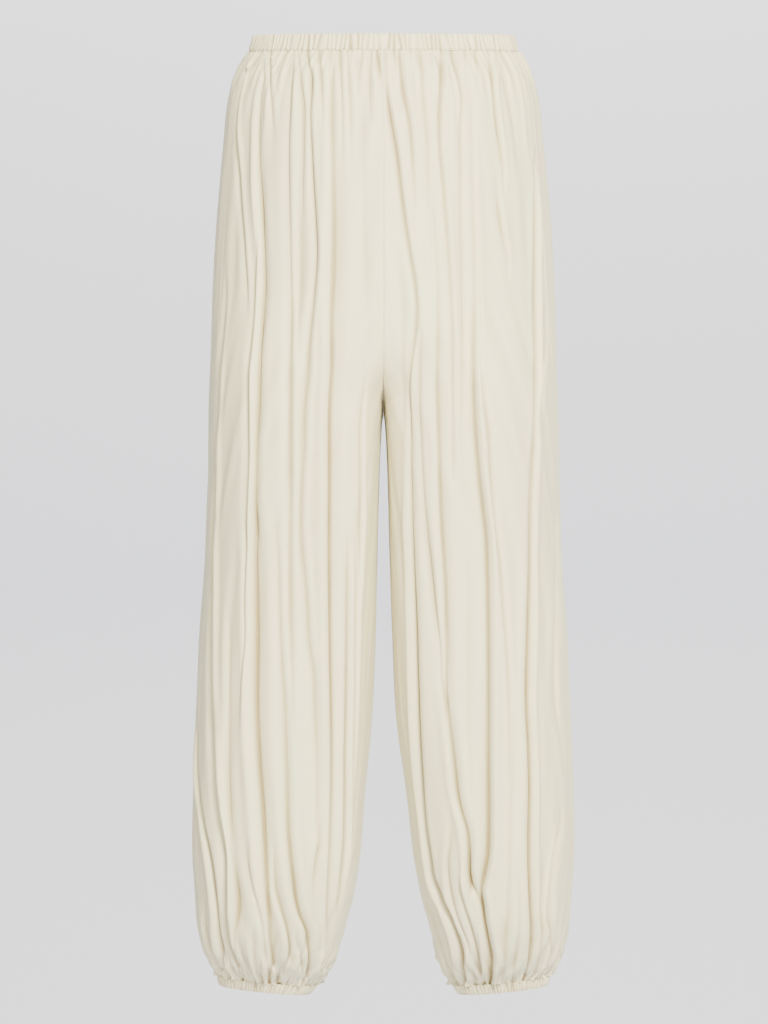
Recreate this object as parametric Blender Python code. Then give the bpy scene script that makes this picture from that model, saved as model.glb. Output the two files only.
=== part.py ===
"""Wide, gathered trousers with an elastic waist casing and elastic ankle casings.

They keep the hollow shape that they have when worn, and hang from the waist. Each leg is a front and a back
panel, so the seams are the real ones: the centre front and back, the sides and the inside legs. A pocket bag
hangs behind each front panel from the opening in the side seam.

Frame: the origin is the middle of the waist opening, about halfway up its casing. +Z is up, the front faces -Y,
and the wearer's left leg is at +X. A height is given as a drop, the distance below the origin. A place
round a leg is given as an angle: 0 at the outer side, 90 at the front, 180 at the inner side, and negative
round the back.
"""

import math
from typing import NamedTuple

import bpy
import numpy as np

MM = 0.001

# The cloth and the seams
WALL = 1.5 * MM
CASING_WALL = 3.0 * MM
SEAM_GAP = 0.3 * MM
MOST_SLANT = 2.4

# Heights, as drops below the origin
WAIST_CASING_TOP = -7.5 * MM
WAIST_SEAM = 10.0 * MM
CROTCH = 390.0 * MM
FORK_START = 245.0 * MM
ANKLE_SEAM = 984.0 * MM
ANKLE_CASING_END = 994.5 * MM

# The waist is higher at the back, and each ankle is higher at the outer side
WAIST_TILT = 0.085
WAIST_TILT_ENDS = 130.0 * MM
ANKLE_TILT = 0.10
ANKLE_TILT_STARTS = 900.0 * MM

# The side seam lies forward of the side at the hip, where the pocket is, and behind it lower down
SIDE_SEAM_AT_HIP = math.radians(20)
SIDE_SEAM_AT_KNEE = math.radians(-10)
SIDE_SEAM_TURNS = (300.0 * MM, 600.0 * MM)

# The inside leg seam leaves the crotch at the innermost point and comes forward down the leg
INSIDE_LEG_FORWARD = math.radians(32)
INSIDE_LEG_TURN_ENDS = 540.0 * MM

# How full the inner side of a leg is at some drops in millimetres: 2 is an ellipse, and more is squarer
FULLNESS_DROPS = (245, 390, 560, 795, 984)
FULLNESS = (2.0, 4.2, 3.6, 2.6, 2.0)

# Gathers, counted round each half of the waist and round each ankle
FRONT_WAIST_GATHERS = 18
BACK_WAIST_GATHERS = 26
FRONT_ANKLE_GATHERS = 16
BACK_ANKLE_GATHERS = 20
WAIST_GATHER_DEPTH = 3.0 * MM
ANKLE_GATHER_DEPTH = 4.4 * MM
CASING_GATHER_DEPTH = 1.8 * MM
CASING_BULGE = 1.6 * MM
RIDGE_SHARE = 0.35
WAIST_GATHERS_END = 75.0 * MM
ANKLE_GATHERS_START = 905.0 * MM
ANKLE_GATHERS_FULL = 965.0 * MM
UNEVEN_SPACING = 0.22
UNEVEN_BEATS = 0.73
CASING_UNEVEN_SPACING = 0.12
CASING_UNEVEN_DEPTH = 0.2
CASING_BEATS = (11, 7)

# Long folds
FOLD_WIDTH = 7.0 * MM
FOLD_SHARE_AT_WAIST = 0.5
FOLDS_FULL_BELOW = 90.0 * MM
FOLD_SHARPNESS = 1.4
SHOULDER = 11.0 * MM
LEAST_SPACING = 5.0 * MM
FRONT_INNER_COLUMNS = 2
BACK_INNER_COLUMNS = 3
QUIET_BY_SEAM = 7.0 * MM

# The pocket bags
POCKET_TOP = 100.0 * MM
POCKET_BOTTOM = 260.0 * MM
POCKET_WIDTH = 135.0 * MM
POCKET_SEAM = 1.5 * MM
POCKET_MARGIN = 25.0 * MM
POCKET_COLUMNS = 16
POCKET_WALL = 1.6 * MM
POCKET_GAP = 0.5 * MM

CREAM = (0.80, 0.77, 0.68, 1.0)
POCKET_CREAM = (0.76, 0.74, 0.66, 1.0)
LEFT = 1
RIGHT = -1


class Level(NamedTuple):
    """The outline at one height, in millimetres from the middle of the body."""

    drop: float
    outer: float
    inner_right: float
    inner_left: float
    front: float
    back: float


OUTLINE = [
    Level(drop=-8, outer=137, inner_right=0, inner_left=0, front=97, back=97),
    Level(drop=0, outer=138, inner_right=0, inner_left=0, front=98, back=98),
    Level(drop=8, outer=141, inner_right=0, inner_left=0, front=100, back=101),
    Level(drop=18, outer=147, inner_right=0, inner_left=0, front=106, back=108),
    Level(drop=34, outer=156, inner_right=0, inner_left=0, front=113, back=118),
    Level(drop=55, outer=162, inner_right=0, inner_left=0, front=118, back=128),
    Level(drop=112, outer=169, inner_right=0, inner_left=0, front=125, back=143),
    Level(drop=165, outer=174, inner_right=0, inner_left=0, front=128, back=150),
    Level(drop=250, outer=179, inner_right=0, inner_left=0, front=131, back=151),
    Level(drop=354, outer=182, inner_right=0, inner_left=0, front=131, back=146),
    Level(drop=390, outer=183, inner_right=0.2, inner_left=0.2, front=130, back=143),
    Level(drop=415, outer=183.5, inner_right=2.2, inner_left=2.2, front=129.5, back=141),
    Level(drop=440, outer=184, inner_right=3.4, inner_left=3.4, front=128.5, back=138),
    Level(drop=480, outer=185, inner_right=5, inner_left=5, front=126, back=133),
    Level(drop=543, outer=187, inner_right=7, inner_left=7, front=121, back=127),
    Level(drop=627, outer=193, inner_right=9, inner_left=10, front=116, back=121),
    Level(drop=711, outer=197, inner_right=13, inner_left=14, front=112, back=117),
    Level(drop=795, outer=200, inner_right=20, inner_left=25, front=108, back=114),
    Level(drop=858, outer=200, inner_right=25, inner_left=32, front=104, back=111),
    Level(drop=889, outer=198, inner_right=30, inner_left=38, front=98, back=106),
    Level(drop=916, outer=196, inner_right=37, inner_left=45, front=91, back=99),
    Level(drop=937, outer=193, inner_right=44, inner_left=52, front=82, back=91),
    Level(drop=958, outer=188, inner_right=52, inner_left=58, front=68, back=78),
    Level(drop=971, outer=183, inner_right=60, inner_left=65, front=55, back=66),
    Level(drop=984, outer=175, inner_right=70, inner_left=73, front=37, back=48),
    Level(drop=995, outer=173, inner_right=77, inner_left=78, front=32, back=42),
]


class Fold(NamedTuple):
    """A long fold: where its valley lies at six heights, and how deep it is at four of them.

    A place is a distance from the centre line. Places and depths are in millimetres.
    """

    waist: float
    hip: float
    seat: float
    knee: float
    calf: float
    ankle: float
    hip_depth: float
    seat_depth: float
    knee_depth: float
    calf_depth: float


FOLD_DROPS = (10, 160, 400, 640, 850, 980)
DEPTH_DROPS = (160, 400, 640, 850)

# From the side seam towards the centre. The photograph shows these on the front.
FRONT_LEFT_FOLDS = [
    Fold(139, 171, 181, 183, 177, 167, 2, 3, 4, 4),
    Fold(134, 163, 163, 152, 153, 152, 5, 5, 6, 6),
    Fold(90, 95, 106, 128, 129, 133, 3, 3, 3, 2),
    Fold(80, 87, 96, 110, 108, 114, 2, 7, 6, 8),
    Fold(70, 77, 74, 81, 99, 107, 6, 4, 1, 3),
    Fold(44, 48, 56, 65, 90, 101, 3, 7, 8, 4),
    Fold(21, 32, 38, 58, 67, 93, 1, 2, 3, 4),
    Fold(7, 18, 26, 35, 48, 83, 6, 9, 9, 10),
]
FRONT_RIGHT_FOLDS = [
    Fold(135, 152, 174, 181, 166, 154, 6, 8, 10, 9),
    Fold(127, 140, 141, 149, 143, 135, 2, 6, 6, 2),
    Fold(117, 132, 133, 135, 124, 114, 9, 9, 10, 10),
    Fold(93, 99, 97, 96, 93, 96, 6, 6, 6, 5),
    Fold(71, 72, 83, 82, 71, 86, 4, 4, 3, 3),
    Fold(51, 51, 57, 55, 56, 76, 6, 8, 8, 8),
    Fold(34, 36, 35, 38, 41, 67, 3, 1, 6, 7),
    Fold(14, 13, 20, 27, 33, 60, 1, 4, 6, 4),
]
BACK_LEFT_FOLDS = [
    Fold(130, 158, 168, 176, 174, 164, 6, 7, 6, 6),
    Fold(112, 136, 144, 150, 148, 146, 5, 3, 6, 8),
    Fold(88, 104, 112, 120, 121, 125, 8, 9, 8, 6),
    Fold(67, 76, 84, 92, 95, 108, 3, 5, 4, 8),
    Fold(47, 52, 57, 66, 71, 94, 7, 7, 9, 9),
    Fold(28, 31, 36, 43, 54, 84, 4, 6, 5, 5),
    Fold(10, 13, 19, 27, 39, 78, 5, 4, 6, 7),
]
BACK_RIGHT_FOLDS = [
    Fold(127, 151, 165, 172, 170, 158, 7, 8, 7, 6),
    Fold(106, 127, 137, 142, 139, 138, 5, 5, 4, 8),
    Fold(89, 98, 103, 113, 114, 117, 7, 8, 9, 5),
    Fold(60, 69, 78, 86, 87, 101, 4, 3, 5, 8),
    Fold(43, 48, 54, 61, 66, 90, 6, 9, 8, 9),
    Fold(25, 29, 33, 40, 48, 80, 5, 5, 6, 4),
    Fold(9, 11, 16, 24, 34, 71, 4, 6, 4, 7),
]

# Shallower folds round the side, evenly between the side seam and the first of the folds above
FRONT_SIDE_DEPTHS = (2.5 * MM,)
BACK_SIDE_DEPTHS = (3.0 * MM, 4.5 * MM)

TOP_DROPS = (WAIST_SEAM + SEAM_GAP, 19 * MM, 34 * MM)
BODY_DROPS = tuple(
    drop * MM
    for drop in (
        60, 100, 150, 205, 260, 296, 328, 356, 378, 390,
        410, 445, 500, 560, 630, 710, 790, 855, 900,
    )
)
BOTTOM_DROPS = (930 * MM, 951 * MM, 968 * MM, ANKLE_SEAM - SEAM_GAP)


def smooth_through(knots, values, at):
    """A curve through the values, whose slope at each knot comes from the knots beside it."""
    knots = np.asarray(knots, float)
    values = np.asarray(values, float)
    slopes = np.gradient(values, knots)
    place = np.clip(np.searchsorted(knots, at) - 1, 0, len(knots) - 2)
    span = knots[place + 1] - knots[place]
    t = np.clip((at - knots[place]) / span, 0, 1)
    ease = t * t * (3 - 2 * t)
    start_pull = t * (1 - t) ** 2 * span * slopes[place]
    end_pull = t * t * (t - 1) * span * slopes[place + 1]
    return values[place] * (1 - ease) + values[place + 1] * ease + start_pull + end_pull


def ease_between(low, high, value):
    """0 at low and 1 at high, with a smooth start and end."""
    t = np.clip((value - low) / (high - low), 0, 1)
    return t * t * (3 - 2 * t)


def outline_at(column, drop):
    """One column of the outline at a height, in metres."""
    drops = [level.drop for level in OUTLINE]
    values = [getattr(level, column) for level in OUTLINE]
    return float(smooth_through(drops, values, drop / MM)) * MM


def slope_of(column, drop):
    """How fast one column of the outline grows with the drop."""
    return (outline_at(column, drop + MM) - outline_at(column, drop - MM)) / (2 * MM)


def fork(drop):
    """How far the body has split into two legs: 0 above the fork, 1 from the crotch down."""
    t = float(np.clip((drop - FORK_START) / (CROTCH - FORK_START), 0, 1))
    return 1 - (1 - t * t) ** 2


class Ring:
    """The outline of one leg at one height, which the centre line cuts above the crotch.

    The outer half is an ellipse and the inner half is fuller, where the two legs press together.
    """

    def __init__(self, side, drop):
        self.side = side
        self.drop = drop
        self.outer = outline_at("outer", drop)
        split = fork(drop)
        if drop < CROTCH:
            inner = self.outer * (split - 1) / (split + 1)
        else:
            inner = outline_at("inner_left" if side == LEFT else "inner_right", drop)
        self.centre = (self.outer + inner) / 2
        self.half_width = (self.outer - inner) / 2
        self.fullness = float(smooth_through(FULLNESS_DROPS, FULLNESS, drop / MM))
        front = outline_at("front", drop)
        back = outline_at("back", drop)
        self.middle = (back - front) / 2
        self.half_depth = (back + front) / 2
        angles = np.linspace(-math.pi * 1.5, math.pi * 1.5, 1081)
        x, y = self.across(angles)
        steps = np.hypot(np.diff(x), np.diff(y))
        self.angles = angles
        self.arcs = np.concatenate([[0], np.cumsum(steps)])
        self.arcs -= self.arc_of(0)

    def power_at(self, angle):
        return np.where(np.cos(angle) < 0, self.fullness, 2.0)

    def across(self, angle):
        """Distance from the centre line and depth of a point on the outline."""
        power = self.power_at(angle)
        level = np.abs(np.cos(angle)) ** power + np.abs(np.sin(angle)) ** power
        reach = level ** (-1 / power)
        x = self.centre + self.half_width * reach * np.cos(angle)
        y = self.middle - self.half_depth * reach * np.sin(angle)
        return x, y

    def angle_at(self, place):
        """The angle of the front point at a distance from the centre line."""
        share = max(-1.0, min(1.0, (place - self.centre) / self.half_width))
        power = self.fullness if share < 0 else 2.0
        return math.atan2((1 - abs(share) ** power) ** (1 / power), share)

    def arc_of(self, angle):
        return np.interp(angle, self.angles, self.arcs)

    def angle_of(self, arc):
        return np.interp(arc, self.arcs, self.angles)

    def outward(self, angle):
        """The direction out of the garment, level."""
        steepness = self.power_at(angle) - 1
        x = np.sign(np.cos(angle)) * np.abs(np.cos(angle)) ** steepness / self.half_width
        y = -np.sign(np.sin(angle)) * np.abs(np.sin(angle)) ** steepness / self.half_depth
        size = np.hypot(x, y)
        return x / size, y / size

    def centre_seam_angle(self):
        """Where the centre line cuts the outline, or the innermost point below the crotch."""
        return self.angle_at(SEAM_GAP / 2)

    def side_seam_angle(self):
        """Where the side seam runs at this height."""
        turned = ease_between(*SIDE_SEAM_TURNS, self.drop)
        return SIDE_SEAM_AT_HIP + (SIDE_SEAM_AT_KNEE - SIDE_SEAM_AT_HIP) * turned

    def inside_leg_angle(self):
        """Where the inside leg seam runs at this height."""
        return math.pi - INSIDE_LEG_FORWARD * ease_between(CROTCH, INSIDE_LEG_TURN_ENDS, self.drop)

    def tilted(self, x, y):
        """The real height of a point, with the tilt of the waist and of the ankle."""
        at_waist = 1 - ease_between(0.0, WAIST_TILT_ENDS, self.drop)
        at_ankle = ease_between(ANKLE_TILT_STARTS, ANKLE_SEAM, self.drop)
        return -self.drop + WAIST_TILT * y * at_waist + ANKLE_TILT * (x - self.centre) * at_ankle

    def points(self, angle, offset):
        """Points of the outline at these angles, moved out of the garment by offset."""
        x, y = self.across(angle)
        out_x, out_y = self.outward(angle)
        x = np.maximum(x + out_x * offset, SEAM_GAP / 2)
        y = y + out_y * offset
        return np.stack([self.side * x, y, self.tilted(x, y)], axis=1)


class Panel:
    """The front or the back panel of one leg, as rows of columns from the side seam to the inside."""

    def __init__(self, side, is_front):
        self.side = side
        self.is_front = is_front
        if is_front:
            self.folds = FRONT_LEFT_FOLDS if side == LEFT else FRONT_RIGHT_FOLDS
            self.side_depths = FRONT_SIDE_DEPTHS
            self.waist_gathers = FRONT_WAIST_GATHERS
            self.ankle_gathers = FRONT_ANKLE_GATHERS
        else:
            self.folds = BACK_LEFT_FOLDS if side == LEFT else BACK_RIGHT_FOLDS
            self.side_depths = BACK_SIDE_DEPTHS
            self.waist_gathers = BACK_WAIST_GATHERS
            self.ankle_gathers = BACK_ANKLE_GATHERS

    def ends(self, ring):
        """Arc positions of the side edge and of the inner edge, each half a seam gap from the seam."""
        start = ring.arc_of(ring.side_seam_angle())
        if ring.drop < CROTCH:
            seam_angle = ring.centre_seam_angle()
            end = ring.arc_of(seam_angle if self.is_front else -seam_angle)
        else:
            seam_angle = ring.inside_leg_angle()
            end = ring.arc_of(seam_angle if self.is_front else seam_angle - 2 * math.pi)
        way = 1 if self.is_front else -1
        inset = SEAM_GAP / 2 if ring.drop >= CROTCH else 0
        return start + way * SEAM_GAP / 2, end - way * inset

    def valley_arcs(self, ring):
        """Distance of each fold's valley from the side edge, in order and never too close together."""
        start, end = self.ends(ring)
        length = abs(end - start)
        way = 1 if self.is_front else -1
        found = []
        for fold in self.folds:
            place = float(smooth_through(FOLD_DROPS, fold[:6], ring.drop / MM))
            found.append(way * (ring.arc_of(way * ring.angle_at(place * MM)) - start))
        first = max(found[0], LEAST_SPACING)
        parts = len(self.side_depths) + 1
        found = [first * (i + 1) / parts for i, _ in enumerate(self.side_depths)] + found
        for i in range(len(found)):
            lowest = (found[i - 1] if i else 0) + LEAST_SPACING
            found[i] = max(found[i], lowest)
        for i in reversed(range(len(found))):
            highest = (found[i + 1] if i + 1 < len(found) else length) - LEAST_SPACING
            found[i] = min(found[i], highest)
        return found, length

    def fold_columns(self, ring):
        """Columns on each valley and on the shoulders beside it, as distances from the side edge."""
        valleys, length = self.valley_arcs(ring)
        columns = [0.0]
        for i, valley in enumerate(valleys):
            before = valleys[i - 1] if i else 0.0
            room = (valley - before) / (3 if i else 2)
            columns += [valley - min(SHOULDER, room), valley]
            after = valleys[i + 1] if i + 1 < len(valleys) else length
            room = (after - valley) / (3 if i + 1 < len(valleys) else 2)
            columns.append(valley + min(SHOULDER, room))
        plain = 1 + (FRONT_INNER_COLUMNS if self.is_front else BACK_INNER_COLUMNS)
        return np.append(columns, np.linspace(columns[-1], length, plain + 1)[1:])

    def gather_columns(self, ring, gathers):
        """Columns on each gather's valley and ridge, unevenly spaced."""
        start, end = self.ends(ring)
        length = abs(end - start)
        steps = np.arange(2 * gathers + 1) / (2 * gathers)
        uneven = UNEVEN_SPACING / gathers * np.sin(steps * math.pi * gathers * UNEVEN_BEATS + self.side)
        uneven *= np.sin(steps * math.pi)
        return (steps + uneven) * length

    def depth_at(self, ring, columns):
        """How far the folds move each column out of the plain outline."""
        valleys, length = self.valley_arcs(ring)
        depths = list(self.side_depths)
        depths += [float(smooth_through(DEPTH_DROPS, fold[6:], ring.drop / MM)) * MM for fold in self.folds]
        grown = ease_between(0, FOLDS_FULL_BELOW, ring.drop)
        below_waist = FOLD_SHARE_AT_WAIST + (1 - FOLD_SHARE_AT_WAIST) * grown
        moved = np.zeros(len(columns))
        for depth, valley in zip(depths, valleys):
            reach = np.abs(columns - valley) / FOLD_WIDTH
            moved -= depth * below_waist * np.exp(-(reach**FOLD_SHARPNESS))
        to_edge = np.minimum(columns, length - columns)
        return moved * (1 - np.exp(-((to_edge / QUIET_BY_SEAM) ** 2)))

    def section(self, ring):
        """Each column's distance from the side edge, its offset from the outline and its level thickness."""
        drop = ring.drop
        if drop < BODY_DROPS[0]:
            columns = self.gather_columns(ring, self.waist_gathers)
            share = 1 - ease_between(WAIST_SEAM, WAIST_GATHERS_END, drop)
            wave = gather_wave(len(columns), WAIST_GATHER_DEPTH * share)
        elif drop > BODY_DROPS[-1]:
            columns = self.gather_columns(ring, self.ankle_gathers)
            share = ease_between(ANKLE_GATHERS_START, ANKLE_GATHERS_FULL, drop)
            wave = gather_wave(len(columns), ANKLE_GATHER_DEPTH * share)
        else:
            columns = self.fold_columns(ring)
            wave = np.zeros(len(columns))
        offset = self.depth_at(ring, columns) + wave
        slant = np.gradient(offset, columns)
        steepest = max(abs(slope_of("outer", drop)), abs(slope_of("front", drop)))
        thick = WALL * np.minimum(MOST_SLANT, np.sqrt(1 + slant**2 + steepest**2))
        return columns, offset, thick

    def row(self, drop):
        """The outer and the inner points of the wall along one row."""
        ring = Ring(self.side, drop)
        columns, offset, thick = self.section(ring)
        start, _ = self.ends(ring)
        way = 1 if self.is_front else -1
        angles = ring.angle_of(start + way * columns)
        shares = columns / columns[-1]
        return Row(ring.points(angles, offset), shares), Row(ring.points(angles, offset - thick), shares)


def gather_wave(count, depth):
    """Offsets of the columns of a gathered edge: valleys at the odd columns, ridges between, still ends."""
    wave = np.full(count, depth * RIDGE_SHARE)
    wave[1::2] = -depth
    wave[0] = wave[-1] = 0
    return wave


class Row(NamedTuple):
    """A row of points along a wall, with how far along the row each of them is, from 0 to 1."""

    points: list
    shares: list


def strip(first, second):
    """Triangles between two rows, each a list of (index of a point, share of the way along the row).

    Rows of one length are joined point to point, and others by their shares.
    """
    if len(first) == len(second):
        places = [place for place, _ in enumerate(first)]
        first = [(index, place) for (index, _), place in zip(first, places)]
        second = [(index, place) for (index, _), place in zip(second, places)]
    i = j = 0
    faces = []
    while i < len(first) - 1 or j < len(second) - 1:
        if j == len(second) - 1:
            step_first = True
        elif i == len(first) - 1:
            step_first = False
        else:
            step_first = first[i + 1][1] + first[i][1] <= second[j + 1][1] + second[j][1]
        if step_first:
            faces.append((first[i][0], second[j][0], first[i + 1][0]))
            i += 1
        else:
            faces.append((first[i][0], second[j][0], second[j + 1][0]))
            j += 1
    return faces


def numbered(rows):
    """All the points of some rows in one list, and for each row its (index, share) pairs."""
    points = []
    pairs = []
    for row in rows:
        indices = range(len(points), len(points) + len(row.points))
        pairs.append(list(zip(indices, row.shares)))
        points.extend(row.points)
    return points, pairs


def edge_of(rows, end):
    """The first (0) or last (-1) points of some rows, as a row of its own."""
    return [(row[end][0], place) for place, row in enumerate(rows)]


def sheet_solid(outer_rows, inner_rows):
    """Points and triangles of a closed wall between two sets of rows that match."""
    points, pairs = numbered([*outer_rows, *inner_rows])
    outer = pairs[: len(outer_rows)]
    inner = pairs[len(outer_rows) :]
    faces = []
    for above, below in zip(outer, outer[1:]):
        faces += strip(above, below)
    for above, below in zip(inner, inner[1:]):
        faces += strip(below, above)
    faces += strip(inner[0], outer[0])
    faces += strip(outer[-1], inner[-1])
    faces += strip(edge_of(outer, 0), edge_of(inner, 0))
    faces += strip(edge_of(inner, -1), edge_of(outer, -1))
    return points, faces


def ring_solid(rings):
    """Points and triangles of a closed band, from the rings that go round its section in order."""
    points, pairs = numbered(rings)
    loops = [[*ring, (ring[0][0], 1.0)] for ring in pairs]
    faces = []
    for first, second in zip(loops, [*loops[1:], loops[0]]):
        faces += strip(first, second)
    return points, faces


def make_object(name, points, faces, material):
    """A mesh object whose faces point outwards."""
    mesh = bpy.data.meshes.new(name)
    mesh.from_pydata([tuple(map(float, p)) for p in points], [], faces)
    mesh.validate()
    corners = np.array([[points[v] for v in face] for face in faces], float)
    volume = np.einsum("ij,ij->i", corners[:, 0], np.cross(corners[:, 1], corners[:, 2])).sum()
    if volume < 0:
        mesh.flip_normals()
    mesh.shade_smooth()
    mesh.set_sharp_from_angle(angle=math.radians(50))
    mesh.materials.append(material)
    made = bpy.data.objects.new(name, mesh)
    bpy.context.scene.collection.objects.link(made)
    return made


def make_material(name, colour, roughness):
    """A plain cloth finish."""
    material = bpy.data.materials.new(name)
    material.use_nodes = True
    shader = material.node_tree.nodes["Principled BSDF"]
    shader.inputs["Base Color"].default_value = colour
    shader.inputs["Roughness"].default_value = roughness
    shader.inputs["Metallic"].default_value = 0.0
    return material


def make_panel(side, is_front, material):
    """One leg panel, from the waist casing to the ankle casing."""
    panel = Panel(side, is_front)
    rows = [panel.row(drop) for drop in (*TOP_DROPS, *BODY_DROPS, *BOTTOM_DROPS)]
    points, faces = sheet_solid([outer for outer, _ in rows], [inner for _, inner in rows])
    face_word = "front" if is_front else "back"
    side_word = "left" if side == LEFT else "right"
    return make_object(f"{face_word}_panel_{side_word}", points, faces, material)


def make_pocket_bag(side, material):
    """The flat pocket bag, which hangs from the side seam just inside the folds of the front panel."""
    panel = Panel(side, is_front=True)
    near_rows = []
    far_rows = []
    for drop in (d for d in BODY_DROPS if POCKET_TOP <= d <= POCKET_BOTTOM):
        ring = Ring(side, drop)
        columns, offset, thick = panel.section(ring)
        start, _ = panel.ends(ring)
        covered = columns < POCKET_WIDTH + POCKET_MARGIN
        behind = (offset - thick)[covered].min() - POCKET_GAP
        across = np.linspace(POCKET_SEAM, POCKET_WIDTH, POCKET_COLUMNS)
        angles = ring.angle_of(start + across)
        near_rows.append(Row(ring.points(angles, behind), across))
        far_rows.append(Row(ring.points(angles, behind - POCKET_WALL), across))
    points, faces = sheet_solid(near_rows, far_rows)
    side_word = "left" if side == LEFT else "right"
    return make_object(f"pocket_bag_{side_word}", points, faces, material)


def casing_ring(place_at, gathers, depth, phase, offset):
    """Points round a casing, at each gather's valley and ridge. place_at turns a share into a point."""
    shares = np.arange(2 * gathers) / (2 * gathers)
    spacing_beat, depth_beat = (shares * 2 * math.pi * beats + phase for beats in CASING_BEATS)
    shares = shares + CASING_UNEVEN_SPACING / gathers * np.sin(spacing_beat)
    wave = np.where(np.arange(2 * gathers) % 2, -depth, depth * RIDGE_SHARE)
    wave = wave * (1 - CASING_UNEVEN_DEPTH + CASING_UNEVEN_DEPTH * np.sin(depth_beat))
    return Row([place_at(share, offset + move) for share, move in zip(shares, wave)], shares)


def plain_ring(place_at, count, offset):
    """Points evenly round a casing's plain inside."""
    shares = np.arange(count) / count
    return Row([place_at(share, offset) for share in shares], shares)


def waist_place(drop):
    """A function that gives the point at a share of the way round the waist, at one height."""
    outer = outline_at("outer", drop)
    front = outline_at("front", drop)
    back = outline_at("back", drop)
    middle = (back - front) / 2
    half_depth = (back + front) / 2
    angles = np.linspace(0, 2 * math.pi, 721)
    steps = np.hypot(np.diff(outer * np.cos(angles)), np.diff(half_depth * np.sin(angles)))
    arcs = np.concatenate([[0], np.cumsum(steps)])

    def place(share, offset):
        angle = float(np.interp((share % 1) * arcs[-1], arcs, angles))
        out_x = math.cos(angle) / outer
        out_y = -math.sin(angle) / half_depth
        size = math.hypot(out_x, out_y)
        x = outer * math.cos(angle) + out_x / size * offset
        y = middle - half_depth * math.sin(angle) + out_y / size * offset
        return (x, y, -drop + WAIST_TILT * y)

    return place


def ankle_place(side, drop):
    """A function that gives the point at a share of the way round one ankle, at one height."""
    ring = Ring(side, drop)
    low = ring.arc_of(-math.pi)
    high = ring.arc_of(math.pi)

    def place(share, offset):
        angle = ring.angle_of(low + (share % 1) * (high - low))
        return tuple(ring.points(np.array([angle]), np.array([offset]))[0])

    return place


def make_casing(name, place, top, bottom, gathers, depth, material):
    """An elastic casing: a band with gathers on its outside, over a plain inside."""
    bottom_place = place(bottom)
    middle_place = place((top + bottom) / 2)
    top_place = place(top)
    rings = [
        casing_ring(bottom_place, gathers, depth, 0.6, 0.0),
        casing_ring(middle_place, gathers, depth, 0.9, CASING_BULGE),
        casing_ring(top_place, gathers, depth, 1.2, 0.0),
        plain_ring(top_place, gathers, -CASING_WALL),
        plain_ring(bottom_place, gathers, -CASING_WALL),
    ]
    points, faces = ring_solid(rings)
    return make_object(name, points, faces, material)


def main():
    for old in list(bpy.data.objects):
        bpy.data.objects.remove(old)
    cloth = make_material("cream_cloth", CREAM, 0.75)
    casing_cloth = make_material("cream_casing", CREAM, 0.78)
    pocket_cloth = make_material("pocket_cloth", POCKET_CREAM, 0.8)
    for side in (LEFT, RIGHT):
        make_panel(side, True, cloth)
        make_panel(side, False, cloth)
        make_pocket_bag(side, pocket_cloth)
    waist_gathers = 2 * (FRONT_WAIST_GATHERS + BACK_WAIST_GATHERS)
    make_casing(
        "waist_casing", waist_place, WAIST_CASING_TOP, WAIST_SEAM,
        waist_gathers, CASING_GATHER_DEPTH, casing_cloth,
    )
    ankle_gathers = FRONT_ANKLE_GATHERS + BACK_ANKLE_GATHERS
    for side, word in ((LEFT, "left"), (RIGHT, "right")):
        make_casing(
            f"ankle_casing_{word}", lambda drop, side=side: ankle_place(side, drop),
            ANKLE_SEAM, ANKLE_CASING_END, ankle_gathers, CASING_GATHER_DEPTH, casing_cloth,
        )


main()
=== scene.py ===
"""The looks of the gathered cream trousers: cloth panels, casings, pocket bags and stitching, and the studio.

The trousers hang from the waist and keep the hollow form that they have when worn. Heights are drops below the
middle of the waist casing, in metres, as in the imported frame. A place is a distance from the centre line. The
wearer's left leg is at +X.
"""

from __future__ import annotations

import logging
import math
from dataclasses import dataclass
from enum import Enum
from typing import NamedTuple, Sequence

import bpy
import numpy as np
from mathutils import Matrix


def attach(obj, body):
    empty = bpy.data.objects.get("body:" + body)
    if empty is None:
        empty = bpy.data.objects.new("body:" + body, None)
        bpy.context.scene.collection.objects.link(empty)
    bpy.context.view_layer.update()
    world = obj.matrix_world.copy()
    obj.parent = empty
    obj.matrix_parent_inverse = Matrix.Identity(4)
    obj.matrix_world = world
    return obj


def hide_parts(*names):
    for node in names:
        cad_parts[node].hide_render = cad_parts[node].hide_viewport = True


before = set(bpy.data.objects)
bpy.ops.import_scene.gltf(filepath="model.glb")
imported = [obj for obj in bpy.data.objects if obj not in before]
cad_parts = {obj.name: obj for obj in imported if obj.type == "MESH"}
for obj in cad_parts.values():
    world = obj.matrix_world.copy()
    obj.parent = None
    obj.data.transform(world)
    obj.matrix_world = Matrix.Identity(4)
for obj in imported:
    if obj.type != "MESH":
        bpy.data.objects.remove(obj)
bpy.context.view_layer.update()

logging.basicConfig(level=logging.INFO, format="%(message)s")
log = logging.getLogger("trousers")

MM = 0.001
BODY = "root"

CROTCH = 384.0 * MM
FORK_START = 245.0 * MM
FORK_POWER = 2
SEAM_GAP = 0.06 * MM
WAIST_CASING_TOP = -7.5 * MM
WAIST_SEAM = 10.0 * MM
ANKLE_SEAM = 984.0 * MM
ANKLE_CASING_END = 994.5 * MM


class Side(Enum):
    """The wearer's side, as the sign of X."""

    LEFT = 1
    RIGHT = -1

    @property
    def word(self) -> str:
        """The side's name in the frame's node names."""
        return self.name.lower()


class Face(Enum):
    """Which panel of a leg."""

    FRONT = 1
    BACK = -1

    @property
    def word(self) -> str:
        """The face's name in the frame's node names."""
        return self.name.lower()


class Level(NamedTuple):
    """The outline at one height, in millimetres from the middle of the body."""

    drop: float
    outer: float
    inner_right: float
    inner_left: float
    front: float
    back: float


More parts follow.
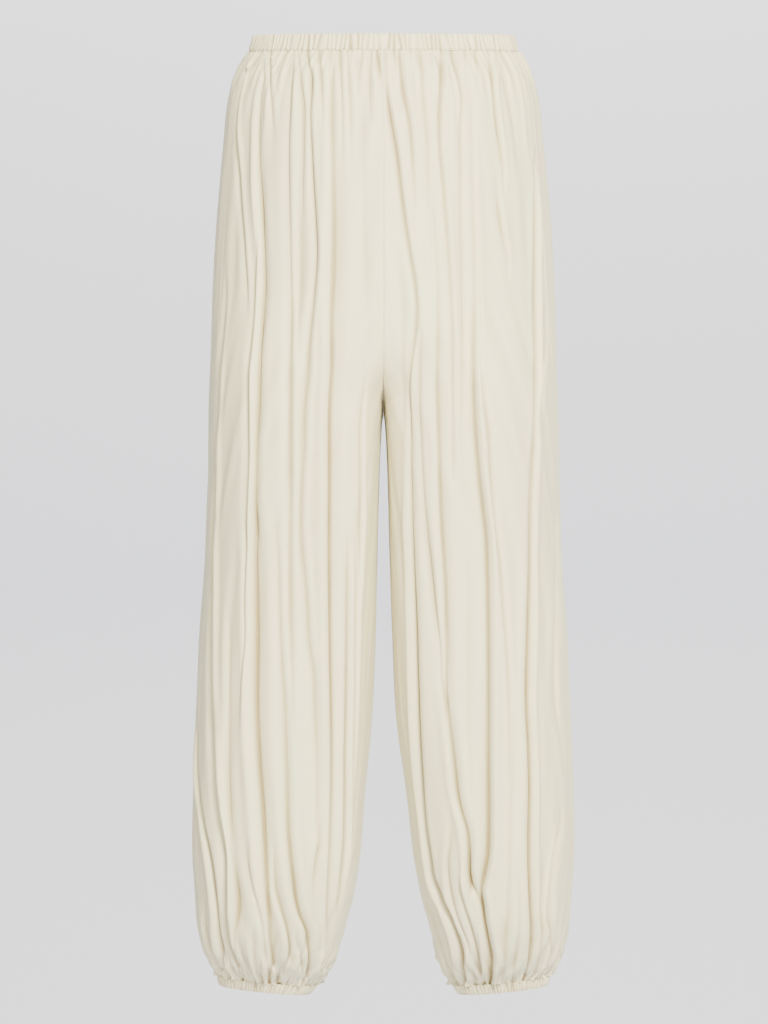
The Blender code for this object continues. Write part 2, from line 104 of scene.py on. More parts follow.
# Each row: drop, outer, inner right, inner left, front, back
OUTLINE: list[Level] = [
    Level(-8, 137, 0, 0, 97, 97),
    Level(0, 138, 0, 0, 98, 98),
    Level(8, 141, 0, 0, 100, 101),
    Level(18, 147, 0, 0, 106, 108),
    Level(34, 156, 0, 0, 113, 118),
    Level(55, 162, 0, 0, 118, 128),
    Level(112, 169, 0, 0, 125, 143),
    Level(165, 174, 0, 0, 128, 150),
    Level(250, 179, 0, 0, 131, 151),
    Level(354, 182, 0, 0, 131, 146),
    Level(384, 183, 0.2, 0.2, 130, 143),
    Level(393, 183, 1.4, 1.4, 130, 143),
    Level(403, 183.2, 2.6, 2.6, 130, 142),
    Level(415, 183.5, 3.4, 3.4, 129.5, 141),
    Level(440, 184, 4.6, 4.6, 128.5, 138),
    Level(480, 185, 5.6, 5.6, 126, 133),
    Level(543, 187, 7, 7, 121, 127),
    Level(627, 193, 9, 10, 116, 121),
    Level(711, 197, 13, 14, 112, 117),
    Level(795, 200, 20, 25, 108, 114),
    Level(858, 200, 25, 32, 104, 111),
    Level(889, 198, 30, 38, 98, 106),
    Level(916, 196, 37, 45, 91, 99),
    Level(937, 193, 44, 52, 82, 91),
    Level(958, 188, 52, 58, 68, 78),
    Level(971, 183, 60, 65, 55, 66),
    Level(984, 175, 70, 73, 37, 48),
    Level(995, 173, 77, 78, 32, 42),
]


class Fold(NamedTuple):
    """One fold: its valley's path as (drop, place) pairs, its depth along the path, and its profile.

    All sizes are in millimetres. Lean is from -1 to 1: at 1 the side towards the centre is steep and the
    outer side soft. Swell is the height of the rolls beside the valley, as a share of its depth.
    """

    path: tuple[tuple[float, float], ...]
    depths: tuple[float, ...]
    width: float
    lean: float = 0.0
    swell: float = 0.30


FRONT_RIGHT_FOLDS: list[Fold] = [
    Fold(((265, 163.5), (331, 168), (396, 171), (462, 173), (514, 175), (580, 176), (669, 176.7),
          (703, 175.5), (748, 173.4), (787, 170.4), (821, 164), (853, 160), (879, 159), (919, 159),
          (945, 157.6), (966, 150)), (2, 6, 9, 11, 12, 12, 10), 2.4, 0.5),
    Fold(((13, 138.5), (37, 144.8), (63, 150), (89, 152), (123, 150.5), (165, 148), (207, 144.3),
          (244, 141.8), (273, 140.3)), (6, 7, 6, 5, 4, 2), 1.7, 0.5),
    Fold(((39, 124.4), (55, 127.5), (81, 129.5), (134, 129), (194, 125), (226, 123.2), (265, 122.4),
          (291, 124.4), (331, 126), (370, 127.5), (409, 129.5), (449, 130.8), (500, 131.3)),
         (4, 6, 7, 7, 8), 2.0, -0.4),
    Fold(((515, 131.3), (627, 129.5), (709, 129.5), (748, 127.5), (787, 124.4), (827, 122), (866, 120),
          (906, 118), (932, 117), (958, 114.3), (984, 110)), (9, 11, 11, 11, 10), 3.4, -0.3),
    Fold(((225, 130), (291, 131.6), (325, 134.7), (370, 136), (449, 137.2), (527, 139.8), (580, 141),
          (627, 141), (656, 143.6), (695, 146)), (3, 6, 6, 5, 3), 1.8, 0.5),
    Fold(((617, 159.6), (696, 160), (774, 159.6), (800, 158), (840, 156.3), (866, 152.5), (887, 149.4),
          (913, 150), (932, 152.5), (953, 151), (971, 146)), (2, 3, 4, 6, 6), 2.0, -0.4),
    Fold(((8, 92), (71, 95), (130, 97), (220, 96), (291, 95), (460, 94.9), (627, 94.9), (700, 94)),
         (4, 4, 3, 5, 5, 4, 2), 1.8, 0.5),
    Fold(((520, 108), (617, 105.3), (656, 103.5), (682, 101.5), (722, 100.2), (774, 98.4), (814, 97.7),
          (848, 95), (869, 92.6), (892, 90), (908, 86.2), (927, 78.6), (945, 77.3), (975, 78)),
         (2, 4, 4, 5, 8, 7), 2.0, 0.4),
    Fold(((130, 84), (200, 86), (280, 87), (340, 90)), (2, 4.5, 3), 6.0),
    Fold(((13, 78.5), (37, 73.5), (81, 74.7), (123, 73), (160, 71), (199, 68.3), (226, 67), (265, 69.6),
          (302, 73.5), (323, 75.5), (357, 77.3), (383, 79.8), (422, 81), (462, 83), (496, 84.2),
          (527, 83.7), (554, 81), (580, 78.6), (627, 76), (656, 72), (709, 69.6), (748, 68.3), (800, 67.8)),
         (5, 5, 5, 5, 4, 4, 3, 2), 1.7, 0.5),
    Fold(((832, 65.8), (848, 69.6), (869, 72.2)), (4, 4), 1.8, -0.3),
    Fold(((8, 50), (76, 53), (134, 51.8), (265, 51.8), (291, 53), (344, 53), (378, 55), (449, 55.6),
          (500, 56), (627, 55.6), (748, 54.3), (840, 55.6), (879, 57), (919, 57), (945, 59.4), (976, 65.8)),
         (4, 6, 8, 9, 9, 8), 2.6, -0.4),
    Fold(((362, 20), (409, 22.5), (475, 22), (541, 23.7), (580, 25)), (2, 4, 3), 1.5, 0.4),
    Fold(((535, 36.5), (617, 37.2), (748, 37.2), (800, 37.8), (840, 39), (866, 41.6), (892, 44), (927, 48),
          (950, 55.6), (969, 63)), (3, 6, 7, 7, 6, 5), 1.8, 0.4),
    Fold(((545, 27.5), (617, 28.8), (700, 29.5), (765, 31)), (3, 5, 3), 1.5, 0.4),
    Fold(((717, 195), (774, 194), (806, 189.5), (840, 183), (871, 178), (900, 175), (932, 172.5),
          (958, 168.5)), (4, 7, 7, 6), 2.0, -0.3),
    Fold(((850, 139), (874, 134.6), (900, 128.3), (919, 124.4), (945, 122), (971, 119)), (3, 5, 5), 2.0, 0.4),
    Fold(((850, 113), (882, 110.4), (906, 104), (927, 99), (948, 98), (963, 103)), (4, 7, 6), 2.2, -0.4),
    Fold(((925, 186), (942, 183), (961, 176.7), (974, 170)), (4, 6), 1.8),
    Fold(((935, 90), (958, 85), (978, 86)), (4, 5), 1.5),
    Fold(((20, 118), (60, 116), (100, 114)), (5, 3, 1), 1.3),
    Fold(((16, 88), (63, 82.4), (123, 82.4), (165, 84)), (4, 5, 3), 1.5),
    Fold(((15, 66), (55, 63), (100, 62)), (4, 3, 1), 1.3),
    Fold(((12, 45), (65, 42.8), (118, 42.4)), (4, 3, 1), 1.3),
    Fold(((10, 37), (60, 35), (118, 34)), (4, 3, 1), 1.3),
    Fold(((10, 7.1), (30, 4), (45, 1.5)), (6, 6), 1.8),
    Fold(((30, 22), (120, 21), (240, 19), (330, 14)), (1, 2, 1), 5.0, 0.2),
]
FRONT_LEFT_FOLDS: list[Fold] = [
    Fold(((29, 1), (52, 2.4), (66, 4.2), (89, 7.6), (108, 10.6), (134, 14.5), (160, 17.4), (186, 20.6),
          (207, 23.6), (234, 28), (260, 32.4), (281, 34), (302, 33.7), (344, 28), (385, 26.5)),
         (3, 5, 5, 4, 3.5), 1.3, -0.6),
    Fold(((400, 26.5), (462, 27.3), (501, 28.6), (541, 29.8), (580, 31), (617, 32), (669, 32), (722, 33.5),
          (774, 37.2), (827, 42.3), (853, 46.2), (869, 48.7), (887, 55), (906, 64), (924, 73),
          (940, 78), (958, 80.5), (984, 81)), (4, 6, 8, 10, 10, 9), 2.3, 0.3),
    Fold(((210, 17), (291, 20), (400, 19), (480, 20)), (2, 4, 4, 2), 6.0),
    Fold(((280, 37.5), (344, 37), (409, 38.2), (462, 40.8), (501, 43.9), (549, 49), (593, 54), (627, 57.9),
          (669, 60.4), (688, 63.7)), (1.5, 3, 3, 4, 3), 1.5, -0.4),
    Fold(((181, 50.2), (213, 52), (265, 55.3), (302, 55.3), (370, 54.6), (423, 56.6), (475, 57.9),
          (514, 59.7), (541, 61.7), (580, 63.7), (627, 64.3), (669, 64.3), (690, 65.5), (722, 69.4),
          (753, 73.2), (785, 77), (806, 82.1), (819, 85.9), (835, 87.7), (866, 88.5), (879, 89.2)),
         (2, 3, 5, 6, 6, 5, 7, 8), 1.9, 0.3),
    Fold(((862, 87), (879, 92), (892, 99), (900, 102)), (5, 6, 3), 2.2),
    Fold(((10, 59.2), (55, 58), (89, 56.6), (123, 57.1), (144, 59.2), (192, 63), (239, 66.8), (302, 69.4),
          (370, 70), (449, 70.6)), (5, 4, 3, 3, 2), 1.5, -0.5),
    Fold(((10, 69.4), (26, 72), (42, 76.5), (55, 79), (108, 78.5), (147, 79), (186, 79), (239, 80),
          (302, 81), (370, 80), (430, 79)), (6, 5, 4, 4, 4, 2), 2.8, 0.4),
    Fold(((86, 89.8), (134, 90.3), (176, 91), (220, 92.5), (291, 92.3), (344, 91.8), (383, 92.3),
          (417, 94.3), (454, 97.4), (488, 101.2), (522, 105), (554, 106.3), (593, 107), (669, 107.6),
          (748, 107.6), (814, 108), (848, 107), (866, 103.8), (879, 101.2), (895, 102.5), (913, 105),
          (932, 108.9), (955, 112.7), (984, 111.4)), (2, 3, 5, 7, 7, 7, 8, 9, 8), 2.3, -0.6),
    Fold(((250, 98), (302, 98.7), (339, 98.7), (383, 102.5), (417, 106.8), (462, 109.4), (496, 112.2),
          (522, 115.3), (554, 119), (585, 121.6), (627, 125), (648, 126.7), (682, 128.5), (722, 129.8),
          (743, 129.8)), (2, 3, 3, 3, 2), 1.3, 0.3),
    Fold(((10, 107.6), (29, 110.7), (45, 112), (63, 113.2), (86, 115.3), (112, 119.5), (139, 124)),
         (5, 5, 5, 3), 1.5, -0.5),
    Fold(((165, 117.3), (194, 120.4), (213, 124), (228, 128)), (2, 4, 2), 1.6, -0.5),
    Fold(((25, 123), (50, 127), (71, 132), (89, 135), (120, 138)), (3, 4, 2), 4.5),
    Fold(((29, 146), (45, 151.5), (63, 156.6), (87, 160), (102, 161), (123, 160.6), (186, 158.6),
          (302, 158.6), (344, 159), (383, 158), (423, 156.6), (475, 154), (514, 153), (554, 151.5),
          (593, 149.7), (627, 148.4), (696, 147), (722, 148.4), (761, 149.7), (840, 149), (879, 149.7),
          (906, 151.5), (927, 153), (955, 151), (975, 147)), (5, 8, 9, 8, 8, 8, 8, 8, 7), 1.9, -0.35),
    Fold(((300, 170), (323, 168.8), (357, 165), (383, 162.4), (417, 159.9)), (2, 3, 2), 1.5),
    Fold(((490, 180), (554, 181), (627, 179.5), (656, 178.5), (696, 180), (730, 185), (748, 188)),
         (2, 4, 4, 3), 3.5),
    Fold(((819, 184), (840, 177.7), (866, 174), (892, 171.4), (913, 170), (932, 174), (948, 174),
          (969, 169)), (3, 5, 5, 5), 1.7, 0.4),
    Fold(((871, 163.7), (897, 161), (932, 162.4), (955, 158.6), (971, 153.5)), (2, 4, 5), 1.6, 0.3),
    Fold(((835, 68), (853, 65.5), (879, 68), (898, 72), (919, 79.6), (937, 87.2), (958, 92.3), (979, 95)),
         (3, 4, 5, 5), 1.7, 0.4),
    Fold(((860, 79), (879, 80), (900, 84), (919, 90), (945, 97), (970, 101)), (3, 5, 5), 1.7, -0.4),
    Fold(((880, 36), (892, 38), (919, 45), (945, 53), (969, 62), (984, 69)), (4, 6, 6), 1.7),
    Fold(((15, 15.8), (55, 19.6), (92, 26), (139, 29.8), (176, 32.4)), (5, 5, 4, 2), 1.6, -0.3),
    Fold(((12, 10.7), (38, 13)), (4, 1), 1.2),
    Fold(((15, 37.5), (63, 40), (113, 43.9), (160, 45), (213, 47.7), (265, 49)), (4, 3, 2, 2), 2.4, -0.3),
    Fold(((14, 47.7), (40, 50)), (4, 1), 1.2),
    Fold(((12, 83.4), (35, 84.6)), (4, 1), 1.2),
    Fold(((12, 95), (45, 97.4)), (4, 1), 1.2),
    Fold(((560, 86), (640, 86), (740, 88), (820, 92)), (1, 2.5, 1), 4.0, 0.3),
    Fold(((560, 134), (700, 135), (800, 131), (900, 128), (950, 126)), (1, 2, 3), 3.0, -0.3),
    Fold(((880, 140), (920, 139), (950, 137), (982, 134)), (2, 4), 1.8, 0.3),
]
BACK_LEFT_FOLDS: list[Fold] = [
    Fold(((12, 128), (60, 141), (150, 157), (290, 163), (430, 169), (520, 171)), (4, 7, 7, 5, 2), 2.2, 0.4),
    Fold(((470, 163), (600, 172), (700, 176), (800, 171), (880, 163), (980, 150)), (2, 7, 9, 8, 6), 2.8, -0.3),
    Fold(((12, 112), (80, 127), (190, 133), (330, 141), (400, 140)), (5, 4, 6, 3, 1), 1.7, -0.4),
    Fold(((300, 124), (420, 131), (560, 136), (700, 144), (820, 139), (900, 133), (980, 131)),
         (2, 5, 8, 6, 7, 8), 2.4, 0.3),
    Fold(((12, 92), (50, 99), (120, 104), (240, 107), (380, 116), (520, 113), (640, 119), (760, 122),
          (860, 114), (920, 111), (980, 117)), (4, 7, 9, 8, 10, 9, 7), 2.9, -0.5),
    Fold(((12, 70), (70, 74), (160, 79), (230, 78)), (5, 5, 1), 1.6, 0.4),
    Fold(((190, 86), (310, 91), (430, 89), (560, 97), (690, 101), (780, 97)), (2, 6, 4, 6, 2), 1.9, 0.5),
    Fold(((720, 88), (800, 91), (870, 97), (930, 101), (980, 103)), (2, 5, 8, 7), 2.2, -0.4),
    Fold(((12, 50), (90, 53), (200, 62), (330, 60), (460, 68), (610, 71), (730, 70), (830, 77), (910, 88),
          (980, 94)), (5, 8, 6, 9, 10, 9, 7), 2.7, 0.3),
    Fold(((12, 31), (60, 36), (130, 38), (210, 46), (300, 45)), (4, 5, 3, 1), 1.6, -0.4),
    Fold(((350, 40), (480, 45), (600, 44), (740, 52), (850, 62), (930, 75), (980, 84)),
         (2, 5, 7, 5, 7), 2.1, -0.3),
    Fold(((12, 12), (90, 13), (220, 21), (340, 19), (470, 26), (600, 27), (700, 31)),
         (4, 6, 5, 7, 2), 2.0, 0.4),
    Fold(((690, 38), (790, 36), (870, 47), (940, 62), (980, 71)), (2, 6, 7), 1.9, 0.4),
    Fold(((20, 84), (70, 87), (130, 90)), (4, 3, 1), 1.4),
    Fold(((14, 41), (60, 43), (110, 42)), (4, 3, 1), 1.4),
    Fold(((560, 186), (660, 189), (760, 187), (860, 181)), (1, 4, 2), 2.4, 0.3),
    Fold(((840, 172), (900, 168), (950, 161), (980, 156)), (3, 6, 6), 1.8, 0.3),
]
BACK_RIGHT_FOLDS: list[Fold] = [
    Fold(((12, 121), (70, 137), (170, 149), (300, 158), (450, 160), (600, 168), (690, 169)),
         (5, 8, 6, 8, 3), 2.5, -0.3),
    Fold(((620, 158), (720, 163), (810, 158), (890, 149), (980, 141)), (2, 8, 9, 7), 2.6, 0.4),
    Fold(((12, 106), (60, 113), (140, 118), (220, 126), (280, 127)), (4, 6, 4, 1), 1.7, 0.4),
    Fold(((240, 112), (370, 114), (500, 124), (640, 123), (750, 131), (850, 127), (930, 121), (980, 124)),
         (2, 6, 9, 7, 9, 7), 2.7, -0.4),
    Fold(((12, 86), (100, 93), (210, 95), (330, 101), (450, 99), (540, 103)), (4, 7, 8, 5, 2), 2.3, 0.5),
    Fold(((500, 88), (620, 95), (740, 104), (830, 102), (900, 97), (980, 108)), (2, 5, 8, 6, 7), 2.1, 0.3),
    Fold(((12, 66), (60, 71), (150, 72), (270, 80), (400, 77), (520, 74), (640, 80), (750, 83), (850, 80),
          (920, 86), (980, 96)), (5, 7, 5, 9, 10, 8, 8), 2.8, -0.5),
    Fold(((12, 45), (80, 49), (180, 50), (260, 56)), (5, 4, 1), 1.6, -0.4),
    Fold(((230, 42), (360, 50), (490, 49), (610, 58), (720, 57), (790, 63)), (2, 7, 5, 7, 2), 2.0, 0.4),
    Fold(((760, 52), (830, 61), (900, 70), (980, 86)), (3, 7, 7), 2.1, -0.3),
    Fold(((12, 26), (110, 29), (240, 30), (350, 37), (480, 35), (590, 40), (700, 46), (800, 45), (890, 58),
          (980, 79)), (4, 7, 8, 6, 9, 8, 6), 2.5, 0.3),
    Fold(((12, 8), (60, 11), (150, 12), (260, 17), (330, 15)), (4, 6, 4, 1), 1.8, -0.3),
    Fold(((440, 18), (560, 22), (680, 26), (790, 30), (880, 44), (980, 70)), (2, 5, 7, 6), 1.9, 0.4),
    Fold(((16, 77), (70, 81), (120, 83)), (4, 3, 1), 1.4),
    Fold(((14, 35), (50, 37), (100, 39)), (4, 3, 1), 1.4),
    Fold(((400, 176), (520, 181), (640, 184), (740, 181)), (1, 4, 2), 2.4, 0.3),
    Fold(((800, 184), (880, 176), (940, 166), (980, 158)), (3, 6, 6), 1.9, -0.3),
]


class Gathers(NamedTuple):
    """The gathers by a casing: how far they reach from its seam and how deep they are there, in turn.

    Both are in millimetres. Room is how far they keep from a long fold, as a share of their spacing.
    """

    reaches: tuple[float, ...]
    depths: tuple[float, ...]
    room: float
    drift: float = 2.2
    width: float = 0.18
    widening: float = 0.16
    lean: float = 2.6
    swell: float = 0.42
    full_fold: float = 1.5


WAIST_GATHERS = Gathers(
    reaches=(26, 58, 38, 92, 20, 46, 30, 74, 22, 40, 120, 28, 52, 18, 84, 34),
    depths=(2.6, 1.7, 3.0, 2.0, 3.3, 1.8, 2.7, 2.2, 3.1, 1.6, 2.4),
    room=0.75,
)
ANKLE_GATHERS = Gathers(
    reaches=(26, 52, 34, 76, 20, 44, 30, 98, 38, 18, 60, 24),
    depths=(4.6, 3.4, 5.2, 3.8, 5.6, 3.6, 5.0, 4.2),
    room=0.36,
)

# How far each gather stands from its even place, in turn, as a share of the spacing
UNEVEN_STEPS = (0.0, 0.22, -0.16, 0.10, -0.24, 0.17, 0.04, -0.12, 0.25, -0.05)


class Ripple(NamedTuple):
    """Shallow unevenness of the cloth: height and pitches in millimetres, and turns for each metre down."""

    height: float
    pitch: float
    phases: tuple[float, float, float]
    sway: float
    sway_rate: float
    beat_rate: float
    beat_pitch: float


RIPPLES = (
    Ripple(0.85, 5.6, (1, 1, 1), 2.2, 5.0, 9.0, 41.0),
    Ripple(0.32, 3.1, (2, -1, 0), 2.6, 8.0, 17.0, 29.0),
)
SIDE_PHASE = 1.7
FACE_PHASE = 0.9

# How far apart the rows of a panel are down to each height: the height, and the step in millimetres
ROW_STEPS = (
    (0.036, 1.5), (0.110, 3.0), (0.340, 6.4), (0.366, 2.8), (CROTCH, 1.5), (0.430, 3.4), (0.860, 6.8),
    (0.935, 3.2), (ANKLE_SEAM - SEAM_GAP, 1.4),
)
READING_STEP = 0.4 * MM
RING_SAMPLES = 1081

# Between which drops the casings' many gathers give way to the long folds alone, and come back
CLEAR_OF_WAIST = (0.015, 0.075)
NEAR_ANKLE = (0.900, 0.945)


def smooth_through(knots: Sequence[float], values: Sequence[float], at: np.ndarray) -> np.ndarray:
    """A curve through the values, whose slope at each knot comes from the knots beside it.

    Args:
        knots: Rising positions.
        values: The value at each knot.
        at: Where to read the curve.

    Returns:
        The curve's values, held level past the first and the last knot.
    """
    knots = np.asarray(knots, float)
    values = np.asarray(values, float)
    slopes = np.gradient(values, knots)
    place = np.clip(np.searchsorted(knots, at) - 1, 0, len(knots) - 2)
    span = knots[place + 1] - knots[place]
    t = np.clip((at - knots[place]) / span, 0, 1)
    eased = t * t * (3 - 2 * t)
    start_pull = t * (1 - t) ** 2 * span * slopes[place]
    end_pull = t * t * (t - 1) * span * slopes[place + 1]
    return values[place] * (1 - eased) + values[place + 1] * eased + start_pull + end_pull


def ease_between(low: float, high: float, value: np.ndarray | float) -> np.ndarray:
    """0 at low and 1 at high, with a smooth start and end."""
    t = np.clip((np.asarray(value, float) - low) / (high - low), 0, 1)
    return t * t * (3 - 2 * t)


def crease_shade_share(distances: np.ndarray, offset: np.ndarray, reach: float, full: float) -> np.ndarray:
    """How far each point of a row lies below the cloth around it, from 0 to 1, which sets its painted crease
    shade.

    Args:
        distances: Where the points are along the row.
        offset: How far each stands out.
        reach: How wide the cloth around it counts.
        full: The depth that counts as 1.

    Returns:
        The share for each point.
    """
    even = np.arange(0, distances[-1], READING_STEP)
    level = np.interp(even, distances, offset)
    steps = np.arange(-3 * reach, 3 * reach, READING_STEP)
    weights = np.exp(-((steps / reach) ** 2))
    padded = np.pad(level, len(steps), mode="edge")
    around = np.convolve(padded, weights / weights.sum(), mode="same")[len(steps) : -len(steps)]
    return np.clip(np.interp(distances, even, around - level) / full, 0, 1)


def outline_at(column: str, drop: float) -> float:
    """One column of the outline at a height, in metres."""
    drops = [level.drop for level in OUTLINE]
    values = [getattr(level, column) for level in OUTLINE]
    return float(smooth_through(drops, values, np.float64(drop / MM))) * MM


def add_object(name: str, data: bpy.types.ID) -> bpy.types.Object:
    """A new object in the scene, with its mesh, light or camera."""
    made = bpy.data.objects.new(name, data)
    bpy.context.scene.collection.objects.link(made)
    return made


@dataclass
class Tilt:
    """How far the waist and the ankles lean from level."""

    waist: float = 0.085
    waist_ends: float = 130.0 * MM
    ankle: float = 0.10
    ankle_starts: float = 900.0 * MM


@dataclass
class Fullness:
    """How full the inner side of a leg is at some drops: 2 is an ellipse, and more is squarer."""

    drops: tuple[float, ...] = (245 * MM, 384 * MM, 560 * MM, 795 * MM, 984 * MM)
    powers: tuple[float, ...] = (2.0, 4.2, 3.6, 2.6, 2.0)


@dataclass
class SeamRun:
    """Where the side seam and the inside leg seam run round a leg, as angles."""

    side_at_hip: float = math.radians(20)
    side_at_knee: float = math.radians(-10)
    side_turns: tuple[float, float] = (300.0 * MM, 600.0 * MM)
    inside_forward: float = math.radians(32)
    inside_turn_ends: float = 540.0 * MM


class Ring:
    """The outline of one leg at one height, which the centre line cuts above the crotch.

    The outer half is an ellipse and the inner half is fuller, where the two legs press together.
    """

    fullness = Fullness()
    tilt = Tilt()
    seams = SeamRun()

    def __init__(self, side: Side, drop: float) -> None:
        """Works the outline out at one height.

        Args:
            side: The wearer's side.
            drop: The distance below the middle of the waist casing.
        """
        self.side = side
        self.drop = drop
        self.outer = outline_at("outer", drop)
        if drop < CROTCH:
            t = float(np.clip((drop - FORK_START) / (CROTCH - FORK_START), 0, 1))
            split = 1 - (1 - t**FORK_POWER) ** 2
            inner = self.outer * (split - 1) / (split + 1)
        else:
            inner = outline_at(f"inner_{side.word}", drop)
        self.centre = (self.outer + inner) / 2
        self.half_width = (self.outer - inner) / 2
        front = outline_at("front", drop)
        back = outline_at("back", drop)
        self.middle = (back - front) / 2
        self.half_depth = (back + front) / 2
        self.power = float(smooth_through(self.fullness.drops, self.fullness.powers, np.float64(drop)))
        self.angles = np.linspace(-math.pi * 1.5, math.pi * 1.5, RING_SAMPLES)
        x, y = self.across(self.angles)
        self.arcs = np.concatenate([[0], np.cumsum(np.hypot(np.diff(x), np.diff(y)))])
        self.arcs -= self.arc_of(0.0)

    def across(self, angle: np.ndarray) -> tuple[np.ndarray, np.ndarray]:
        """Distance from the centre line and depth of points on the outline."""
        power = self.power_at(angle)
        level = np.abs(np.cos(angle)) ** power + np.abs(np.sin(angle)) ** power
        reach = level ** (-1 / power)
        x = self.centre + self.half_width * reach * np.cos(angle)
        y = self.middle - self.half_depth * reach * np.sin(angle)
        return x, y

    def power_at(self, angle: np.ndarray) -> np.ndarray:
        """How square the outline is at some angles."""
        return np.where(np.cos(angle) < 0, self.power, 2.0)

    def outward(self, angle: np.ndarray) -> tuple[np.ndarray, np.ndarray]:
        """The level direction out of the garment at some angles."""
        steepness = self.power_at(angle) - 1
        x = np.sign(np.cos(angle)) * np.abs(np.cos(angle)) ** steepness / self.half_width
        y = -np.sign(np.sin(angle)) * np.abs(np.sin(angle)) ** steepness / self.half_depth
        size = np.hypot(x, y)
        return x / size, y / size

    def arc_of(self, angle: float) -> float:
        """How far round the outline an angle is, from the outer side."""
        return float(np.interp(angle, self.angles, self.arcs))

    def angle_of(self, arc: np.ndarray) -> np.ndarray:
        """The angles at some distances round the outline."""
        return np.interp(arc, self.arcs, self.angles)

    def angle_at_place(self, place: float) -> float:
        """The front angle at a distance from the centre line."""
        share = max(-1.0, min(1.0, (place - self.centre) / self.half_width))
        power = self.power if share < 0 else 2.0
        return math.atan2((1 - abs(share) ** power) ** (1 / power), share)

    def ends(self, face: Face) -> tuple[float, float]:
        """Where a panel's side edge and inner edge are round the outline.

        Args:
            face: The front or the back panel.

        Returns:
            The two arcs, each half a seam gap short of its seam.
        """
        way = face.value
        turned = float(ease_between(*self.seams.side_turns, self.drop))
        side_angle = self.seams.side_at_hip + (self.seams.side_at_knee - self.seams.side_at_hip) * turned
        start = self.arc_of(side_angle) + way * SEAM_GAP / 2
        if self.drop < CROTCH:
            return start, self.arc_of(way * self.angle_at_place(SEAM_GAP / 2))
        forward = float(ease_between(CROTCH, self.seams.inside_turn_ends, self.drop))
        inner_angle = math.pi - self.seams.inside_forward * forward
        end_angle = inner_angle if face is Face.FRONT else inner_angle - 2 * math.pi
        return start, self.arc_of(end_angle) - way * SEAM_GAP / 2

    def points(self, arc: np.ndarray, offset: np.ndarray | float) -> np.ndarray:
        """Points round the outline, moved out of the garment.

        Args:
            arc: Distances round the outline.
            offset: How far out of the garment each point is.

        Returns:
            An array of points.
        """
        angle = self.angle_of(arc)
        x, y = self.across(angle)
        out_x, out_y = self.outward(angle)
        x = np.maximum(x + out_x * offset, SEAM_GAP / 2)
        y = y + out_y * offset
        at_waist = 1 - ease_between(0.0, self.tilt.waist_ends, self.drop)
        at_ankle = ease_between(self.tilt.ankle_starts, ANKLE_SEAM, self.drop)
        z = -self.drop + self.tilt.waist * y * at_waist + self.tilt.ankle * (x - self.centre) * at_ankle
        return np.stack([self.side.value * x, y, z], axis=1)


class Valley(NamedTuple):
    """One fold where it crosses a row, in metres."""

    at: float
    depth: float
    width: float
    lean: float
    swell: float


# The profile across a fold, in half widths of its valley
SOFT_SHARE = 0.30
SOFT_REACH = 3.4
SOFT_REACH_BY_LEAN = 1.6
SHARPNESS = 1.4
ROLL_AT = 4.2
ROLL_REACH = 2.2
ROLL_BY_LEAN = 0.9


def valley(distance: np.ndarray, width: np.ndarray | float, lean: float, swell: float) -> np.ndarray:
    """The profile across a fold: -1 in the valley, with soft rolls beside it.

    Args:
        distance: Signed distances from the valley, towards the centre.
        width: The valley's half width.
        lean: How much steeper the side towards the centre is.
        swell: The height of the rolls.

    Returns:
        The offset for a depth of one.
    """
    steep = np.where(distance > 0, lean, -lean)
    t = np.abs(distance) / (width * (1 - 0.5 * steep))
    share = SOFT_SHARE - SOFT_SHARE * steep
    soft = share * np.exp(-((t / (SOFT_REACH - SOFT_REACH_BY_LEAN * steep)) ** 2))
    sharp = (1 - share) * np.exp(-(t**SHARPNESS))
    roll = swell * (1 + ROLL_BY_LEAN * steep) * np.exp(-(((t - ROLL_AT) / ROLL_REACH) ** 2))
    return roll - soft - sharp


@dataclass
class PanelSizes:
    """The grid and the fine form of one leg panel."""

    wall: float = 0.9 * MM
    columns: int = 190
    edge_columns: tuple[float, ...] = (0.0, 0.35, 0.8, 1.4, 2.2)
    crowding: float = 2.4
    crowding_reach: float = 1.6
    crowding_full: float = 4.0 * MM
    crowding_by_casings: float = 0.4
    inner_columns: int = 34
    inner_part: float = 17.0 * MM
    seam_dip: float = 0.7 * MM
    seam_dip_width: float = 0.9 * MM
    quiet_by_seam: float = 3.5 * MM
    quiet_share: float = 0.85
    lean_shift: float = 0.8
    lean_shift_ends: float = 0.75
    thickest: float = 2.2
    fold_fade: float = 38.0 * MM
    fade_overlap: float = 0.4
    no_fade_above: float = 30.0 * MM
    no_fade_below: float = 970.0 * MM
    fold_share_at_waist: float = 0.7
    folds_full_below: float = 60.0 * MM
    front_waist_gathers: int = 31
    back_waist_gathers: int = 38
    front_ankle_gathers: int = 31
    back_ankle_gathers: int = 35
    pocket_relief: float = 0.45 * MM
    pocket_bag_inner: float = 138.0 * MM
    pocket_bag_foot: float = 259.0 * MM
    pocket_relief_starts: tuple[float, float] = (120.0 * MM, 160.0 * MM)
    pocket_foot_reach: float = 3.0 * MM
    pocket_edge_reach: tuple[float, float] = (1.5 * MM, 0.5 * MM)
    # How wide and how deep the cloth around a point counts for the painted shade in the creases.
    crease_shade_reach: float = 6.0 * MM
    crease_shade_full: float = 4.2 * MM
    crease_shade_by_casings: float = 0.75


